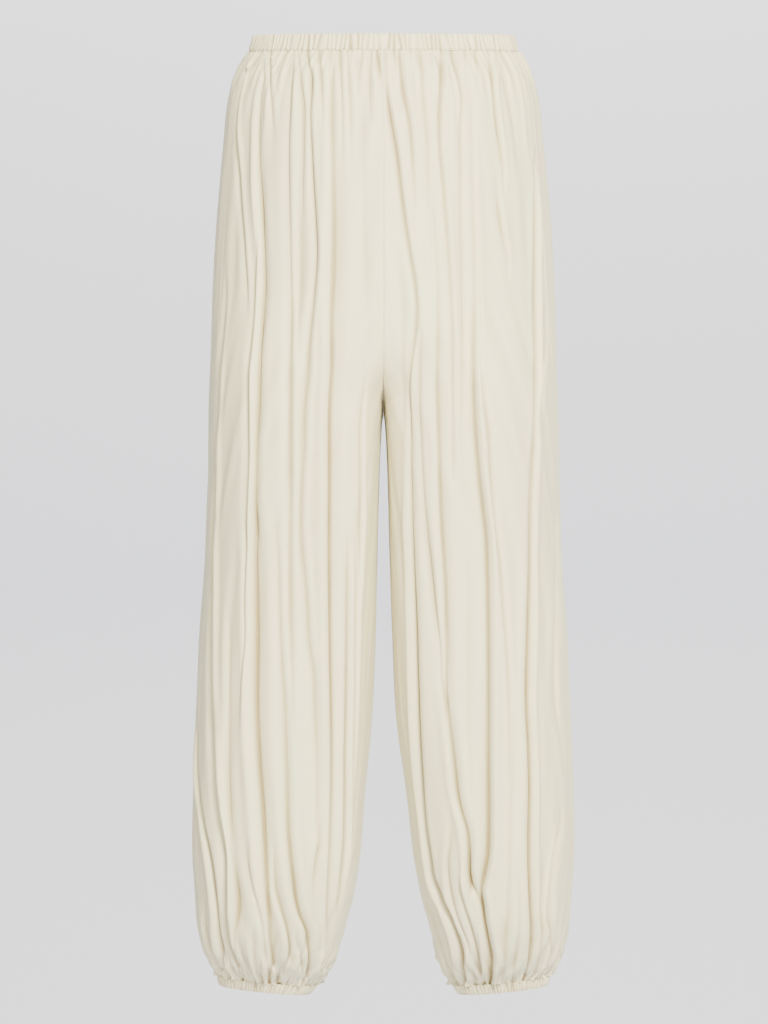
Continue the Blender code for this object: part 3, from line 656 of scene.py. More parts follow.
class LegPanel:
    """The front or the back cloth panel of one leg."""

    def __init__(self, side: Side, face: Face, sizes: PanelSizes) -> None:
        """Chooses the panel's folds.

        Args:
            side: The wearer's side.
            face: The front or the back.
            sizes: The panel's grid and fine form.
        """
        self.side = side
        self.face = face
        self.sizes = sizes
        tables = {
            (Side.LEFT, Face.FRONT): FRONT_LEFT_FOLDS,
            (Side.RIGHT, Face.FRONT): FRONT_RIGHT_FOLDS,
            (Side.LEFT, Face.BACK): BACK_LEFT_FOLDS,
            (Side.RIGHT, Face.BACK): BACK_RIGHT_FOLDS,
        }
        self.folds = tables[(side, face)]

    @property
    def node(self) -> str:
        """The solid that the panel replaces."""
        return f"{self.face.word}_panel_{self.side.word}"

    def drops(self) -> np.ndarray:
        """The heights of the rows, closer together near the casings."""
        low = WAIST_SEAM + SEAM_GAP
        rows = []
        for high, step in ROW_STEPS:
            rows.append(np.arange(low, high - 0.4 * step * MM, step * MM))
            low = high
        return np.append(np.concatenate(rows), low)

    @staticmethod
    def clear_of_casings(drop: float) -> float:
        """0 at the casings' many gathers and 1 where only the long folds are."""
        clear_of_waist = float(ease_between(*CLEAR_OF_WAIST, drop))
        return clear_of_waist * (1 - float(ease_between(*NEAR_ANKLE, drop)))

    def crowding_at(self, drop: float) -> float:
        """How much closer the columns stand in the long folds, less so near the casings' many gathers."""
        low = self.sizes.crowding_by_casings
        return low + (self.sizes.crowding - low) * self.clear_of_casings(drop)

    def columns_at(self, drop: float, length: float, inner_part: float, valleys: list[Valley]) -> np.ndarray:
        """Distances of a row's columns from the side edge, close together at both edges and in the folds.

        Args:
            drop: The row's height.
            length: The row's length.
            inner_part: Where the part by the inner edge starts, which has columns of its own.
            valleys: The long folds that cross the row.

        Returns:
            The distances, rising.
        """
        sizes = self.sizes
        edge = np.array(sizes.edge_columns) * MM
        crowding = self.crowding_at(drop)
        main = self.spread(edge[-1], inner_part, sizes.columns - sizes.inner_columns, crowding, valleys)
        inner = self.spread(inner_part, length - edge[-1], sizes.inner_columns, crowding, valleys)
        return np.concatenate([edge, main[1:], inner[1:-1], length - edge[::-1]])

    def spread(self, low: float, high: float, count: int, crowding: float, valleys: list[Valley]) -> np.ndarray:
        """Distances from low to high, closer together in the folds."""
        fine = np.linspace(low, high, 8 * count)
        crowd = np.ones(len(fine))
        for found in valleys:
            share = min(1.0, found.depth / self.sizes.crowding_full)
            near = np.exp(-(((fine - found.at) / (self.sizes.crowding_reach * found.width)) ** 2))
            crowd += crowding * share * near
        passed = np.concatenate([[0], np.cumsum((crowd[1:] + crowd[:-1]) / 2)])
        return np.interp(np.linspace(0, passed[-1], count), passed, fine)

    def inner_part_at(self, ring: Ring, start: float) -> float:
        """Where the part by the inner edge starts, as a distance from the side edge."""
        innermost = max(0.0, ring.centre - ring.half_width)
        angle = self.face.value * ring.angle_at_place(innermost + self.sizes.inner_part)
        return self.face.value * (ring.arc_of(angle) - start)

    def valleys_at(self, ring: Ring, start: float) -> list[Valley]:
        """The long folds that cross one row.

        Args:
            ring: The outline at the row's height.
            start: Where the side edge is round it.

        Returns:
            Each fold's place, size and profile there.
        """
        drop = ring.drop
        sizes = self.sizes
        found = []
        at_waist = sizes.fold_share_at_waist
        grown = at_waist + (1 - at_waist) * float(ease_between(0, sizes.folds_full_below, drop))
        far = sizes.fold_fade
        near = sizes.fade_overlap * far
        for fold in self.folds:
            knots = np.array([pair[0] for pair in fold.path]) * MM
            strength = 1.0
            if knots[0] >= sizes.no_fade_above:
                strength *= float(ease_between(knots[0] - far, knots[0] + near, drop))
            if knots[-1] <= sizes.no_fade_below:
                strength *= 1 - float(ease_between(knots[-1] - near, knots[-1] + far, drop))
            if strength <= 0:
                continue
            along = np.linspace(knots[0], knots[-1], len(fold.depths))
            depth = float(smooth_through(along, fold.depths, np.float64(drop))) * MM
            depth *= strength * grown
            place = float(smooth_through(knots, [pair[1] for pair in fold.path], np.float64(drop))) * MM
            sideways = float(ring.outward(np.array([ring.angle_at_place(place)]))[0][0])
            facing = max(0.0, 1 - (sideways / sizes.lean_shift_ends) ** 4)
            shift = sizes.lean_shift * depth * sideways * facing
            angle = self.face.value * ring.angle_at_place(place + shift)
            at = self.face.value * (ring.arc_of(angle) - start)
            found.append(Valley(at, depth, fold.width * MM, fold.lean, fold.swell))
        return found

    def gather_offset(self, distances: np.ndarray, away: float, count: int, gathers: Gathers,
                      valleys: list[Valley]) -> np.ndarray:
        """How far the gathers of one casing move one row's columns.

        Args:
            distances: The columns' distances from the side edge.
            away: The row's distance from the casing's seam.
            count: How many gathers the panel has there.
            gathers: Their reaches, depths and profile.
            valleys: The long folds of the row, which leave no room for a gather close by.

        Returns:
            An offset for each column.
        """
        moved = np.zeros(len(distances))
        length = distances[-1]
        shift = 3 * self.side.value + 5 * self.face.value
        spacing = length / count
        for place in range(count):
            turn = place + shift
            reach = gathers.reaches[turn % len(gathers.reaches)] * MM
            if away >= reach:
                continue
            left = 1 - away / reach
            uneven, leaning, drifting = (UNEVEN_STEPS[(turn + i) % len(UNEVEN_STEPS)] for i in (0, 3, 6))
            at = (place + 0.5 + uneven + drifting * gathers.drift * (1 - left)) * spacing
            depth = gathers.depths[turn % len(gathers.depths)] * MM * left**0.5
            width = spacing * (gathers.width + gathers.widening * (1 - left))
            for found in valleys:
                crowded = math.exp(-(((at - found.at) / (gathers.room * spacing)) ** 2))
                depth *= 1 - min(1.0, found.depth / (gathers.full_fold * MM)) * crowded
            moved += depth * valley(distances - at, width, leaning * gathers.lean, gathers.swell)
        return moved

    def offset_at(self, ring: Ring, distances: np.ndarray, start: float, valleys: list[Valley]) -> np.ndarray:
        """How far the cloth of one row stands out of the plain outline."""
        sizes = self.sizes
        length = distances[-1]
        front = self.face is Face.FRONT
        moved = np.zeros(len(distances))
        for found in valleys:
            moved += found.depth * valley(distances - found.at, found.width, found.lean, found.swell)
        waist_count = sizes.front_waist_gathers if front else sizes.back_waist_gathers
        ankle_count = sizes.front_ankle_gathers if front else sizes.back_ankle_gathers
        moved += self.gather_offset(distances, ring.drop - WAIST_SEAM, waist_count, WAIST_GATHERS, valleys)
        moved += self.gather_offset(distances, ANKLE_SEAM - ring.drop, ankle_count, ANKLE_GATHERS, valleys)
        phase = SIDE_PHASE * self.side.value + FACE_PHASE * self.face.value
        for ripple in RIPPLES:
            across, swayed, beaten = (times * phase for times in ripple.phases)
            sway = ripple.sway * math.sin(ring.drop * ripple.sway_rate + swayed)
            wave = np.sin(distances / MM / ripple.pitch + across + sway)
            beat = np.sin(ring.drop * ripple.beat_rate + distances / MM / ripple.beat_pitch + beaten)
            moved += ripple.height * MM * wave * beat
        if front and self.side is Side.LEFT:
            bag_edge = abs(ring.arc_of(ring.angle_at_place(sizes.pocket_bag_inner)) - start)
            before, after = sizes.pocket_edge_reach
            over = 1 - ease_between(bag_edge - before, bag_edge + after, distances)
            foot = sizes.pocket_bag_foot
            above_foot = 1 - ease_between(foot - sizes.pocket_foot_reach, foot, ring.drop)
            high = ease_between(*sizes.pocket_relief_starts, ring.drop) * above_foot
            moved += sizes.pocket_relief * over * high
        to_edge = np.minimum(distances, length - distances)
        moved *= 1 - sizes.quiet_share * np.exp(-((to_edge / sizes.quiet_by_seam) ** 2))
        return moved - sizes.seam_dip * np.exp(-((to_edge / sizes.seam_dip_width) ** 2))

    def build(self) -> bpy.types.Object:
        """The panel as a closed thin wall, with its cloth's own map and the painted shade of its creases."""
        outer_rows = []
        inner_rows = []
        maps = []
        depths = []
        for drop in self.drops():
            ring = Ring(self.side, float(drop))
            start, end = ring.ends(self.face)
            valleys = self.valleys_at(ring, start)
            inner_part = self.inner_part_at(ring, start)
            distances = self.columns_at(float(drop), abs(end - start), inner_part, valleys)
            offset = self.offset_at(ring, distances, start, valleys)
            slope = np.gradient(offset, distances)
            wall = self.sizes.wall * np.minimum(self.sizes.thickest, np.sqrt(1 + slope**2))
            arc = start + self.face.value * distances
            outer_rows.append(ring.points(arc, offset))
            inner_rows.append(ring.points(arc, offset - wall))
            if drop < CROTCH:
                outer_rows[-1][-1, 0] = self.side.value * SEAM_GAP / 2
                inner_rows[-1][-1, 0] = self.side.value * SEAM_GAP / 2
            middle = distances - distances[-1] / 2
            maps.append(np.stack([middle, np.full(len(middle), -drop)], axis=1))
            # Painted shade: the deeper a point lies below the cloth around it, the more crease shade colour it
            # gets, less so by the casings.
            by_casings = self.sizes.crease_shade_by_casings
            clear = self.clear_of_casings(float(drop))
            full = self.sizes.crease_shade_full * (by_casings + (1 - by_casings) * clear)
            depths.append(crease_shade_share(distances, offset, self.sizes.crease_shade_reach, full))
        name = f"{self.face.word}_cloth_{self.side.word}"
        outward = (self.side.value * self.face.value) > 0
        return wall_object(name, np.array(outer_rows), np.array(inner_rows), np.array(maps),
                           np.array(depths), outward)


def wall_object(name: str, outer: np.ndarray, inner: np.ndarray, maps: np.ndarray, depths: np.ndarray,
                flip: bool) -> bpy.types.Object:
    """A closed thin wall between two grids of points.

    Args:
        name: The object's name.
        outer: The outer points, rows by columns by 3.
        inner: The inner points, the same shape.
        maps: The cloth's own map in metres, rows by columns by 2.
        depths: How much painted crease shade each point gets, rows by columns.
        flip: Whether the grid runs the other way round.

    Returns:
        The new object.
    """
    rows, columns = outer.shape[:2]
    half = rows * columns
    grid = np.arange(half).reshape(rows, columns)
    quads = np.stack([grid[:-1, :-1], grid[1:, :-1], grid[1:, 1:], grid[:-1, 1:]], axis=-1).reshape(-1, 4)
    border = np.concatenate([grid[:, 0], grid[-1, 1:], grid[-2::-1, -1], grid[0, -2:0:-1]])
    following = np.roll(border, -1)
    rim = np.stack([border, border + half, following + half, following], axis=-1)
    faces = np.concatenate([quads, quads[:, ::-1] + half, rim[:, ::-1]])
    if flip:
        faces = faces[:, ::-1]
    points = np.concatenate([outer.reshape(-1, 3), inner.reshape(-1, 3)])
    return mesh_object(name, points, faces, np.tile(maps.reshape(-1, 2), (2, 1)), np.tile(depths.ravel(), 2))


def mesh_object(name: str, points: np.ndarray, faces: np.ndarray, maps: np.ndarray,
                depths: np.ndarray) -> bpy.types.Object:
    """A smooth mesh object with the cloth's own map and the painted shade of its creases.

    Args:
        name: The object's name.
        points: The points.
        faces: Quads as rows of four indices.
        maps: The cloth's own map for each point.
        depths: How much painted crease shade each point gets.

    Returns:
        The new object.
    """
    mesh = bpy.data.meshes.new(name)
    mesh.from_pydata(points.tolist(), [], faces.tolist())
    mesh.validate()
    loops = np.zeros(len(mesh.loops), np.int32)
    mesh.loops.foreach_get("vertex_index", loops)
    layer = mesh.uv_layers.new(name="cloth_map")
    layer.uv.foreach_set("vector", maps[loops].astype(np.float32).ravel())
    # Painted crease shade for each point, which the cloth's material mixes into its colour.
    folds = mesh.attributes.new("painted_crease_shade", "FLOAT", "POINT")
    folds.data.foreach_set("value", depths.astype(np.float32))
    mesh.shade_smooth()
    return add_object(name, mesh)


def signed_volume(made: bpy.types.Object) -> float:
    """The volume inside a closed mesh, which is negative where its faces point in."""
    mesh = made.data
    mesh.calc_loop_triangles()
    corners = np.zeros(len(mesh.loop_triangles) * 3, np.int32)
    mesh.loop_triangles.foreach_get("vertices", corners)
    points = np.zeros(len(mesh.vertices) * 3, np.float32)
    mesh.vertices.foreach_get("co", points)
    triangles = points.reshape(-1, 3)[corners].reshape(-1, 3, 3).astype(float)
    return float(np.einsum("ij,ij->i", triangles[:, 0], np.cross(triangles[:, 1], triangles[:, 2])).sum() / 6)


@dataclass
class CasingSizes:
    """An elastic casing: its height, its gathers and its grid."""

    top: float
    bottom: float
    gathers: int
    wall: float = 3.0 * MM
    bulge: float = 1.0 * MM
    gather_depth: float = 2.1 * MM
    top_wave: float = 0.8 * MM
    points_per_gather: int = 9
    section_points: int = 26
    corner: float = 4.6
    stitch_inset: float = 1.5 * MM
    stitch_groove: float = 0.5 * MM
    groove_width: float = 0.7 * MM
    stitch_lift: float = 0.10 * MM
    pinch: float = 0.35
    pinch_reach: float = 2.0 * MM
    inner_share: float = 0.5
    # How much painted shade the outer face gets in the slits of the gathers.
    slit_shade_share: float = 0.9


class CasingWave(NamedTuple):
    """The profile of a casing's gathers, for a depth of one. Beats are counted right round."""

    bend: float = 0.16
    bend_beats: int = 31
    depth: float = 0.72
    depth_change: float = 0.28
    depth_beats: int = 17
    slit_width: float = 0.12
    slit_sharpness: float = 1.3
    crest: float = 0.28
    fine: float = 0.14
    fine_turn: float = 0.3


# How the gathers of a casing drift from even places: the share of a gather, the beats and the seed's part
CASING_DRIFT = ((0.30, 9, 1), (0.22, 23, 1), (0.15, 47, 3))
EDGE_SEED = 0.15
INNER_SEED = 0.37


class Casing:
    """An elastic casing round the waist or round one ankle."""

    def __init__(self, name: str, node: str, sizes: CasingSizes, side: Side | None) -> None:
        """Names the casing.

        Args:
            name: The piece's name.
            node: The solid that it replaces.
            sizes: Its sizes.
            side: The leg that it is on, or None for the waist.
        """
        self.name = name
        self.node = node
        self.sizes = sizes
        self.side = side

    def gather_wave(self, turns: np.ndarray, height: float, seed: float) -> np.ndarray:
        """The gathers round the casing at one height of it.

        Args:
            turns: Shares of the way round.
            height: From 0 at the bottom to 1 at the top.
            seed: Sets this face's gathers apart from the other's.

        Returns:
            Offsets for a depth of one.
        """
        count = self.sizes.gathers
        drift = np.zeros(len(turns))
        for share, beats, times in CASING_DRIFT:
            drift += share * np.sin(2 * math.pi * (turns * beats + times * seed))
        wave = CasingWave()
        bend = wave.bend * np.sin(2 * math.pi * (turns * wave.bend_beats + seed)) * (height - 0.5) * 2
        phase = turns * count + drift + bend
        depth = wave.depth + wave.depth_change * np.sin(2 * math.pi * (turns * wave.depth_beats + 2 * seed))
        slit = -np.exp(-((np.abs(np.mod(phase, 1.0) - 0.5) / wave.slit_width) ** wave.slit_sharpness))
        crest = wave.crest * np.cos(2 * math.pi * phase)
        fine = wave.fine * np.sin(2 * math.pi * (phase * 2.0 + wave.fine_turn * height))
        return depth * (slit + crest + fine)

    def ring_arcs(self, drop: float, turns: np.ndarray) -> list[tuple[Ring, np.ndarray]]:
        """The rings and arcs that the shares of the way round fall on.

        Args:
            drop: The height.
            turns: Shares of the way round.

        Returns:
            One pair for an ankle, and one for each half of the waist.
        """
        if self.side is not None:
            ring = Ring(self.side, drop)
            low, high = ring.arc_of(-math.pi), ring.arc_of(math.pi)
            return [(ring, low + turns * (high - low))]
        right, left = Ring(Side.RIGHT, drop), Ring(Side.LEFT, drop)
        quarter_low, quarter_high = left.arc_of(-math.pi / 2), left.arc_of(math.pi / 2)
        span = quarter_high - quarter_low
        in_left = turns < 0.5
        left_arcs = quarter_low + turns[in_left] * 2 * span
        right_arcs = quarter_high - (turns[~in_left] - 0.5) * 2 * span
        return [(left, left_arcs), (right, right_arcs)]

    def loop(self, drop: float, turns: np.ndarray, offset: np.ndarray) -> np.ndarray:
        """Points right round the casing at one height.

        Args:
            drop: The height.
            turns: Shares of the way round, rising.
            offset: How far out of the plain outline each point is.

        Returns:
            An array of points.
        """
        parts = []
        used = 0
        for ring, arcs in self.ring_arcs(drop, turns):
            parts.append(ring.points(arcs, offset[used : used + len(arcs)]))
            used += len(arcs)
        return np.concatenate(parts)

    def surface_offset(self, turns: np.ndarray, height: float) -> np.ndarray:
        """How far the casing's outer face stands out of the plain ellipse at one height of it."""
        sizes = self.sizes
        puff = sizes.bulge * (1 - (2 * height - 1) ** 2)
        from_bottom = height * (sizes.bottom - sizes.top)
        groove = sizes.stitch_groove * math.exp(-(((from_bottom - sizes.stitch_inset) / sizes.groove_width) ** 2))
        pinch = 1 - sizes.pinch * math.exp(-((from_bottom / sizes.pinch_reach) ** 2))
        return puff - groove + sizes.gather_depth * pinch * self.gather_wave(turns, height, 0.0)

    def inner_offset(self, turns: np.ndarray, height: float) -> np.ndarray:
        """How far the casing's inner face lies inside the plain ellipse at one height of it."""
        sizes = self.sizes
        wave = self.gather_wave(turns, height, INNER_SEED)
        return -sizes.wall + sizes.inner_share * sizes.gather_depth * wave

    def free_edge(self, up: float) -> float:
        """How far a height is towards the casing's free edge: the top of the waist, the foot of an ankle."""
        return max(0.0, up if self.side is None else -up)

    def build(self) -> bpy.types.Object:
        """The casing as one closed band, gathered on both faces, with painted shade in the slits of its gathers.
        """
        sizes = self.sizes
        count = sizes.gathers * sizes.points_per_gather
        turns = np.arange(count) / count
        middle = (sizes.top + sizes.bottom) / 2
        half_height = (sizes.bottom - sizes.top) / 2
        rows = []
        depths = []
        for step in range(sizes.section_points):
            angle = 2 * math.pi * step / sizes.section_points
            across = math.copysign(abs(math.cos(angle)) ** (2 / sizes.corner), math.cos(angle))
            up = math.copysign(abs(math.sin(angle)) ** (2 / sizes.corner), math.sin(angle))
            height = (up + 1) / 2
            drop = middle - up * half_height
            lift = sizes.top_wave * up * self.gather_wave(turns, height, EDGE_SEED) * self.free_edge(up)
            outward = (across + 1) / 2
            outer = self.surface_offset(turns, height)
            inner = self.inner_offset(turns, height)
            offset = inner + (outer - inner) * outward
            ring = self.loop(drop, turns, offset)
            ring[:, 2] += lift
            rows.append(ring)
            # Painted shade in the gathers' slits, strongest on the outer face.
            tone = np.clip(-self.gather_wave(turns, height, 0.0), 0, 1)
            depths.append(tone * sizes.slit_shade_share * outward)
        points = np.array(rows)
        grid = np.arange(points.shape[0] * points.shape[1]).reshape(points.shape[:2])
        below = np.roll(grid, -1, axis=0)
        quads = np.stack([grid, np.roll(grid, -1, axis=1), np.roll(below, -1, axis=1), below], axis=-1)
        around = np.linalg.norm(np.diff(points[0], axis=0), axis=1).sum()
        maps = np.zeros((*grid.shape, 2))
        maps[..., 0] = turns * around
        maps[..., 1] = np.arange(grid.shape[0])[:, None] * 2 * half_height / sizes.section_points * 2
        made = mesh_object(self.name, points.reshape(-1, 3), quads.reshape(-1, 4), maps.reshape(-1, 2),
                           np.array(depths).ravel())
        if signed_volume(made) < 0:
            made.data.flip_normals()
        return made

    def stitch_path(self) -> np.ndarray:
        """Points along the stitch line near the casing's lower edge, just proud of the cloth."""
        sizes = self.sizes
        count = sizes.gathers * sizes.points_per_gather
        turns = np.arange(count) / count
        height = sizes.stitch_inset / (sizes.bottom - sizes.top)
        drop = sizes.bottom - sizes.stitch_inset
        corner = (1 - abs(2 * height - 1) ** sizes.corner) ** (1 / sizes.corner)
        outer = self.surface_offset(turns, height)
        inner = self.inner_offset(turns, height)
        offset = inner + (outer - inner) * (corner + 1) / 2
        return self.loop(drop, turns, offset + sizes.stitch_lift)


@dataclass
class PocketSizes:
    """The pocket bag behind a front panel."""

    top: float = 100.0 * MM
    bottom: float = 260.0 * MM
    seam_inset: float = 1.5 * MM
    width: float = 135.0 * MM
    wall: float = 1.3 * MM
    behind: float = 14.5 * MM
    corner: float = 28.0 * MM
    rows: int = 56
    columns: int = 60
    sag: float = 0.9 * MM
    sag_turns: float = 1.6
    sag_pitch: float = 17.0
    sag_rate: float = 31.0


class PocketBag:
    """The flat pocket bag that hangs from the side seam, with a rounded lower corner."""

    def __init__(self, side: Side, sizes: PocketSizes) -> None:
        """Keeps the side and the sizes."""
        self.side = side
        self.sizes = sizes

    def build(self) -> bpy.types.Object:
        """The bag as a thin closed wall, a little slack between its edges."""
        sizes = self.sizes
        outer_rows = []
        inner_rows = []
        maps = []
        for drop in np.linspace(sizes.top, sizes.bottom, sizes.rows):
            ring = Ring(self.side, float(drop))
            start, _ = ring.ends(Face.FRONT)
            left = sizes.bottom - drop
            cut = 0.0
            if left < sizes.corner:
                cut = sizes.corner - math.sqrt(sizes.corner**2 - (sizes.corner - left) ** 2)
            across = np.linspace(sizes.seam_inset, sizes.width - cut, sizes.columns)
            hang = math.sin(math.pi * left / sizes.bottom * sizes.sag_turns)
            middle = np.sin(math.pi * across / sizes.width) * hang
            slack = sizes.sag * middle * np.sin(across / MM / sizes.sag_pitch + drop * sizes.sag_rate)
            outer_rows.append(ring.points(start + across, slack - sizes.behind))
            inner_rows.append(ring.points(start + across, slack - sizes.behind - sizes.wall))
            maps.append(np.stack([across, np.full(len(across), -drop)], axis=1))
        grid = np.array(outer_rows)
        return wall_object(f"pocket_cloth_{self.side.word}", grid, np.array(inner_rows), np.array(maps),
                           np.zeros(grid.shape[:2]), self.side is Side.LEFT)


class NodeNet:
    """Adds nodes to a material or a node group, and links them."""

    def __init__(self, tree: bpy.types.NodeTree) -> None:
        """Keeps the tree that the nodes go into."""
        self.tree = tree

    def add(self, kind: str, inputs: dict[str | int, object] | None = None,
            **settings: object) -> bpy.types.Node:
        """A new node.

        Args:
            kind: The node's type.
            inputs: A value or another node's output for some of its inputs.
            **settings: The node's own properties.

        Returns:
            The node.
        """
        node = self.tree.nodes.new(kind)
        for name, value in settings.items():
            setattr(node, name, value)
        self.feed(node, inputs or {})
        return node

    def feed(self, node: bpy.types.Node, inputs: dict[str | int, object]) -> None:
        """Sets or links some of a node's inputs."""
        for name, value in inputs.items():
            if isinstance(value, bpy.types.NodeSocket):
                self.tree.links.new(value, node.inputs[name])
            else:
                node.inputs[name].default_value = value


def new_material(name: str) -> tuple[bpy.types.Material, NodeNet, bpy.types.Node]:
    """A new material, what adds nodes to it, and its shader."""
    material = bpy.data.materials.new(name)
    material.use_nodes = True
    return material, NodeNet(material.node_tree), material.node_tree.nodes["Principled BSDF"]


@dataclass(frozen=True)
class ClothFinish:
    """A cream cloth: its colours, the painted shade for its creases, its weave and its sheen."""

    name: str
    light: tuple[float, float, float]
    warm: tuple[float, float, float]
    cool: tuple[float, float, float]
    # The colour of the painted shade in the creases.
    crease_shade_colour: tuple[float, float, float]
    weave_pitch: float
    weave_bump: float
    roughness: float
    sheen: float
    glow: float = 0.15
    glow_reach: float = 1.0 * MM
    roughness_spread: float = 0.07
    slub_tones: tuple[float, float] = (0.955, 1.03)
    slub_scale: tuple[float, float, float] = (1500.0, 70.0, 1.0)
    patch_scale: float = 17.0
    twill_angle: float = math.radians(63)

    def build(self) -> bpy.types.Material:
        """The cloth's material, with its weave on the cloth's own map and painted shade in the creases."""
        material, net, shader = new_material(self.name)
        objects = net.add("ShaderNodeTexCoord")
        stretched = net.add("ShaderNodeMapping", {
            "Vector": objects.outputs["Object"], "Scale": (1.0, 1.0, 0.35),
        })
        patches = net.add("ShaderNodeTexNoise", {
            "Vector": stretched.outputs["Vector"], "Scale": self.patch_scale, "Detail": 2.0,
        })
        tints = net.add("ShaderNodeValToRGB", {"Fac": patches.outputs["Fac"]})
        ramp = tints.color_ramp.elements
        ramp[0].position = 0.34
        ramp[0].color = (*self.warm, 1)
        ramp[1].position = 0.66
        ramp[1].color = (*self.cool, 1)
        ramp.new(0.5).color = (*self.light, 1)
        # Painted shade: the crease shade colour is mixed in where the points lie deep in a crease.
        folds = net.add("ShaderNodeAttribute", attribute_name="painted_crease_shade")
        crease_shaded = net.add("ShaderNodeMix", {
            "Factor": folds.outputs["Fac"], "A": tints.outputs["Color"], "B": (*self.crease_shade_colour, 1),
        }, data_type="RGBA")

        cloth_map = net.add("ShaderNodeUVMap", uv_map="cloth_map")
        slubs_map = net.add("ShaderNodeMapping", {"Vector": cloth_map.outputs["UV"], "Scale": self.slub_scale})
        slubs = net.add("ShaderNodeTexNoise", {
            "Vector": slubs_map.outputs["Vector"], "Scale": 1.0, "Detail": 3.0,
        })
        slub_tone = net.add("ShaderNodeMapRange", {
            "Value": slubs.outputs["Fac"], "To Min": self.slub_tones[0], "To Max": self.slub_tones[1],
        })
        coloured = net.add("ShaderNodeMix", {
            "Factor": 1.0, "A": crease_shaded.outputs["Result"], "B": slub_tone.outputs["Result"],
        }, data_type="RGBA", blend_type="MULTIPLY")

        twill_map = net.add("ShaderNodeMapping", {
            "Vector": cloth_map.outputs["UV"], "Rotation": (0.0, 0.0, self.twill_angle),
        })
        twill = net.add("ShaderNodeTexWave", {
            "Vector": twill_map.outputs["Vector"], "Scale": 1.0 / self.weave_pitch / math.pi,
            "Distortion": 1.2, "Detail": 1.0, "Detail Scale": 2.0,
        })
        height = net.add("ShaderNodeMath", {
            0: slubs.outputs["Fac"], 1: 0.7, 2: twill.outputs["Fac"],
        }, operation="MULTIPLY_ADD")
        bump = net.add("ShaderNodeBump", {
            "Height": height.outputs["Value"], "Strength": self.weave_bump, "Distance": 0.12 * MM,
        })
        rough = net.add("ShaderNodeMapRange", {
            "Value": slubs.outputs["Fac"], "To Min": self.roughness - self.roughness_spread,
            "To Max": self.roughness + self.roughness_spread,
        })
        net.feed(shader, {
            "Metallic": 0.0, "Sheen Weight": self.sheen, "Sheen Roughness": 0.45, "Specular IOR Level": 0.35,
            "Subsurface Weight": self.glow, "Subsurface Radius": (1.0, 0.75, 0.5),
            "Subsurface Scale": self.glow_reach, "Base Color": coloured.outputs["Result"],
            "Normal": bump.outputs["Normal"], "Roughness": rough.outputs["Result"],
        })
        return material


@dataclass(frozen=True)
class ThreadFinish:
    """Sewing thread, much darker than the cloth: its colour is partly the thread's own and partly painted shade
    of the stitch holes.
    """

    name: str = "thread_with_painted_shade"
    # Partly the thread's own tone and partly painted shade of the stitch holes.
    colour: tuple[float, float, float] = (0.30, 0.26, 0.18)
    shaded: float = 0.86
    roughness: float = 0.5

    def build(self) -> bpy.types.Material:
        """The thread's material, with the twist of its plies."""
        material, net, shader = new_material(self.name)
        objects = net.add("ShaderNodeTexCoord")
        plies = net.add("ShaderNodeTexWave", {
            "Vector": objects.outputs["Object"], "Scale": 1100.0, "Distortion": 0.6,
        })
        tone = net.add("ShaderNodeMix", {
            "Factor": plies.outputs["Fac"], "A": (*self.colour, 1),
            "B": (*(self.shaded * part for part in self.colour), 1),
        }, data_type="RGBA")
        net.feed(shader, {
            "Roughness": self.roughness, "Sheen Weight": 0.2, "Base Color": tone.outputs["Result"],
        })
        return material


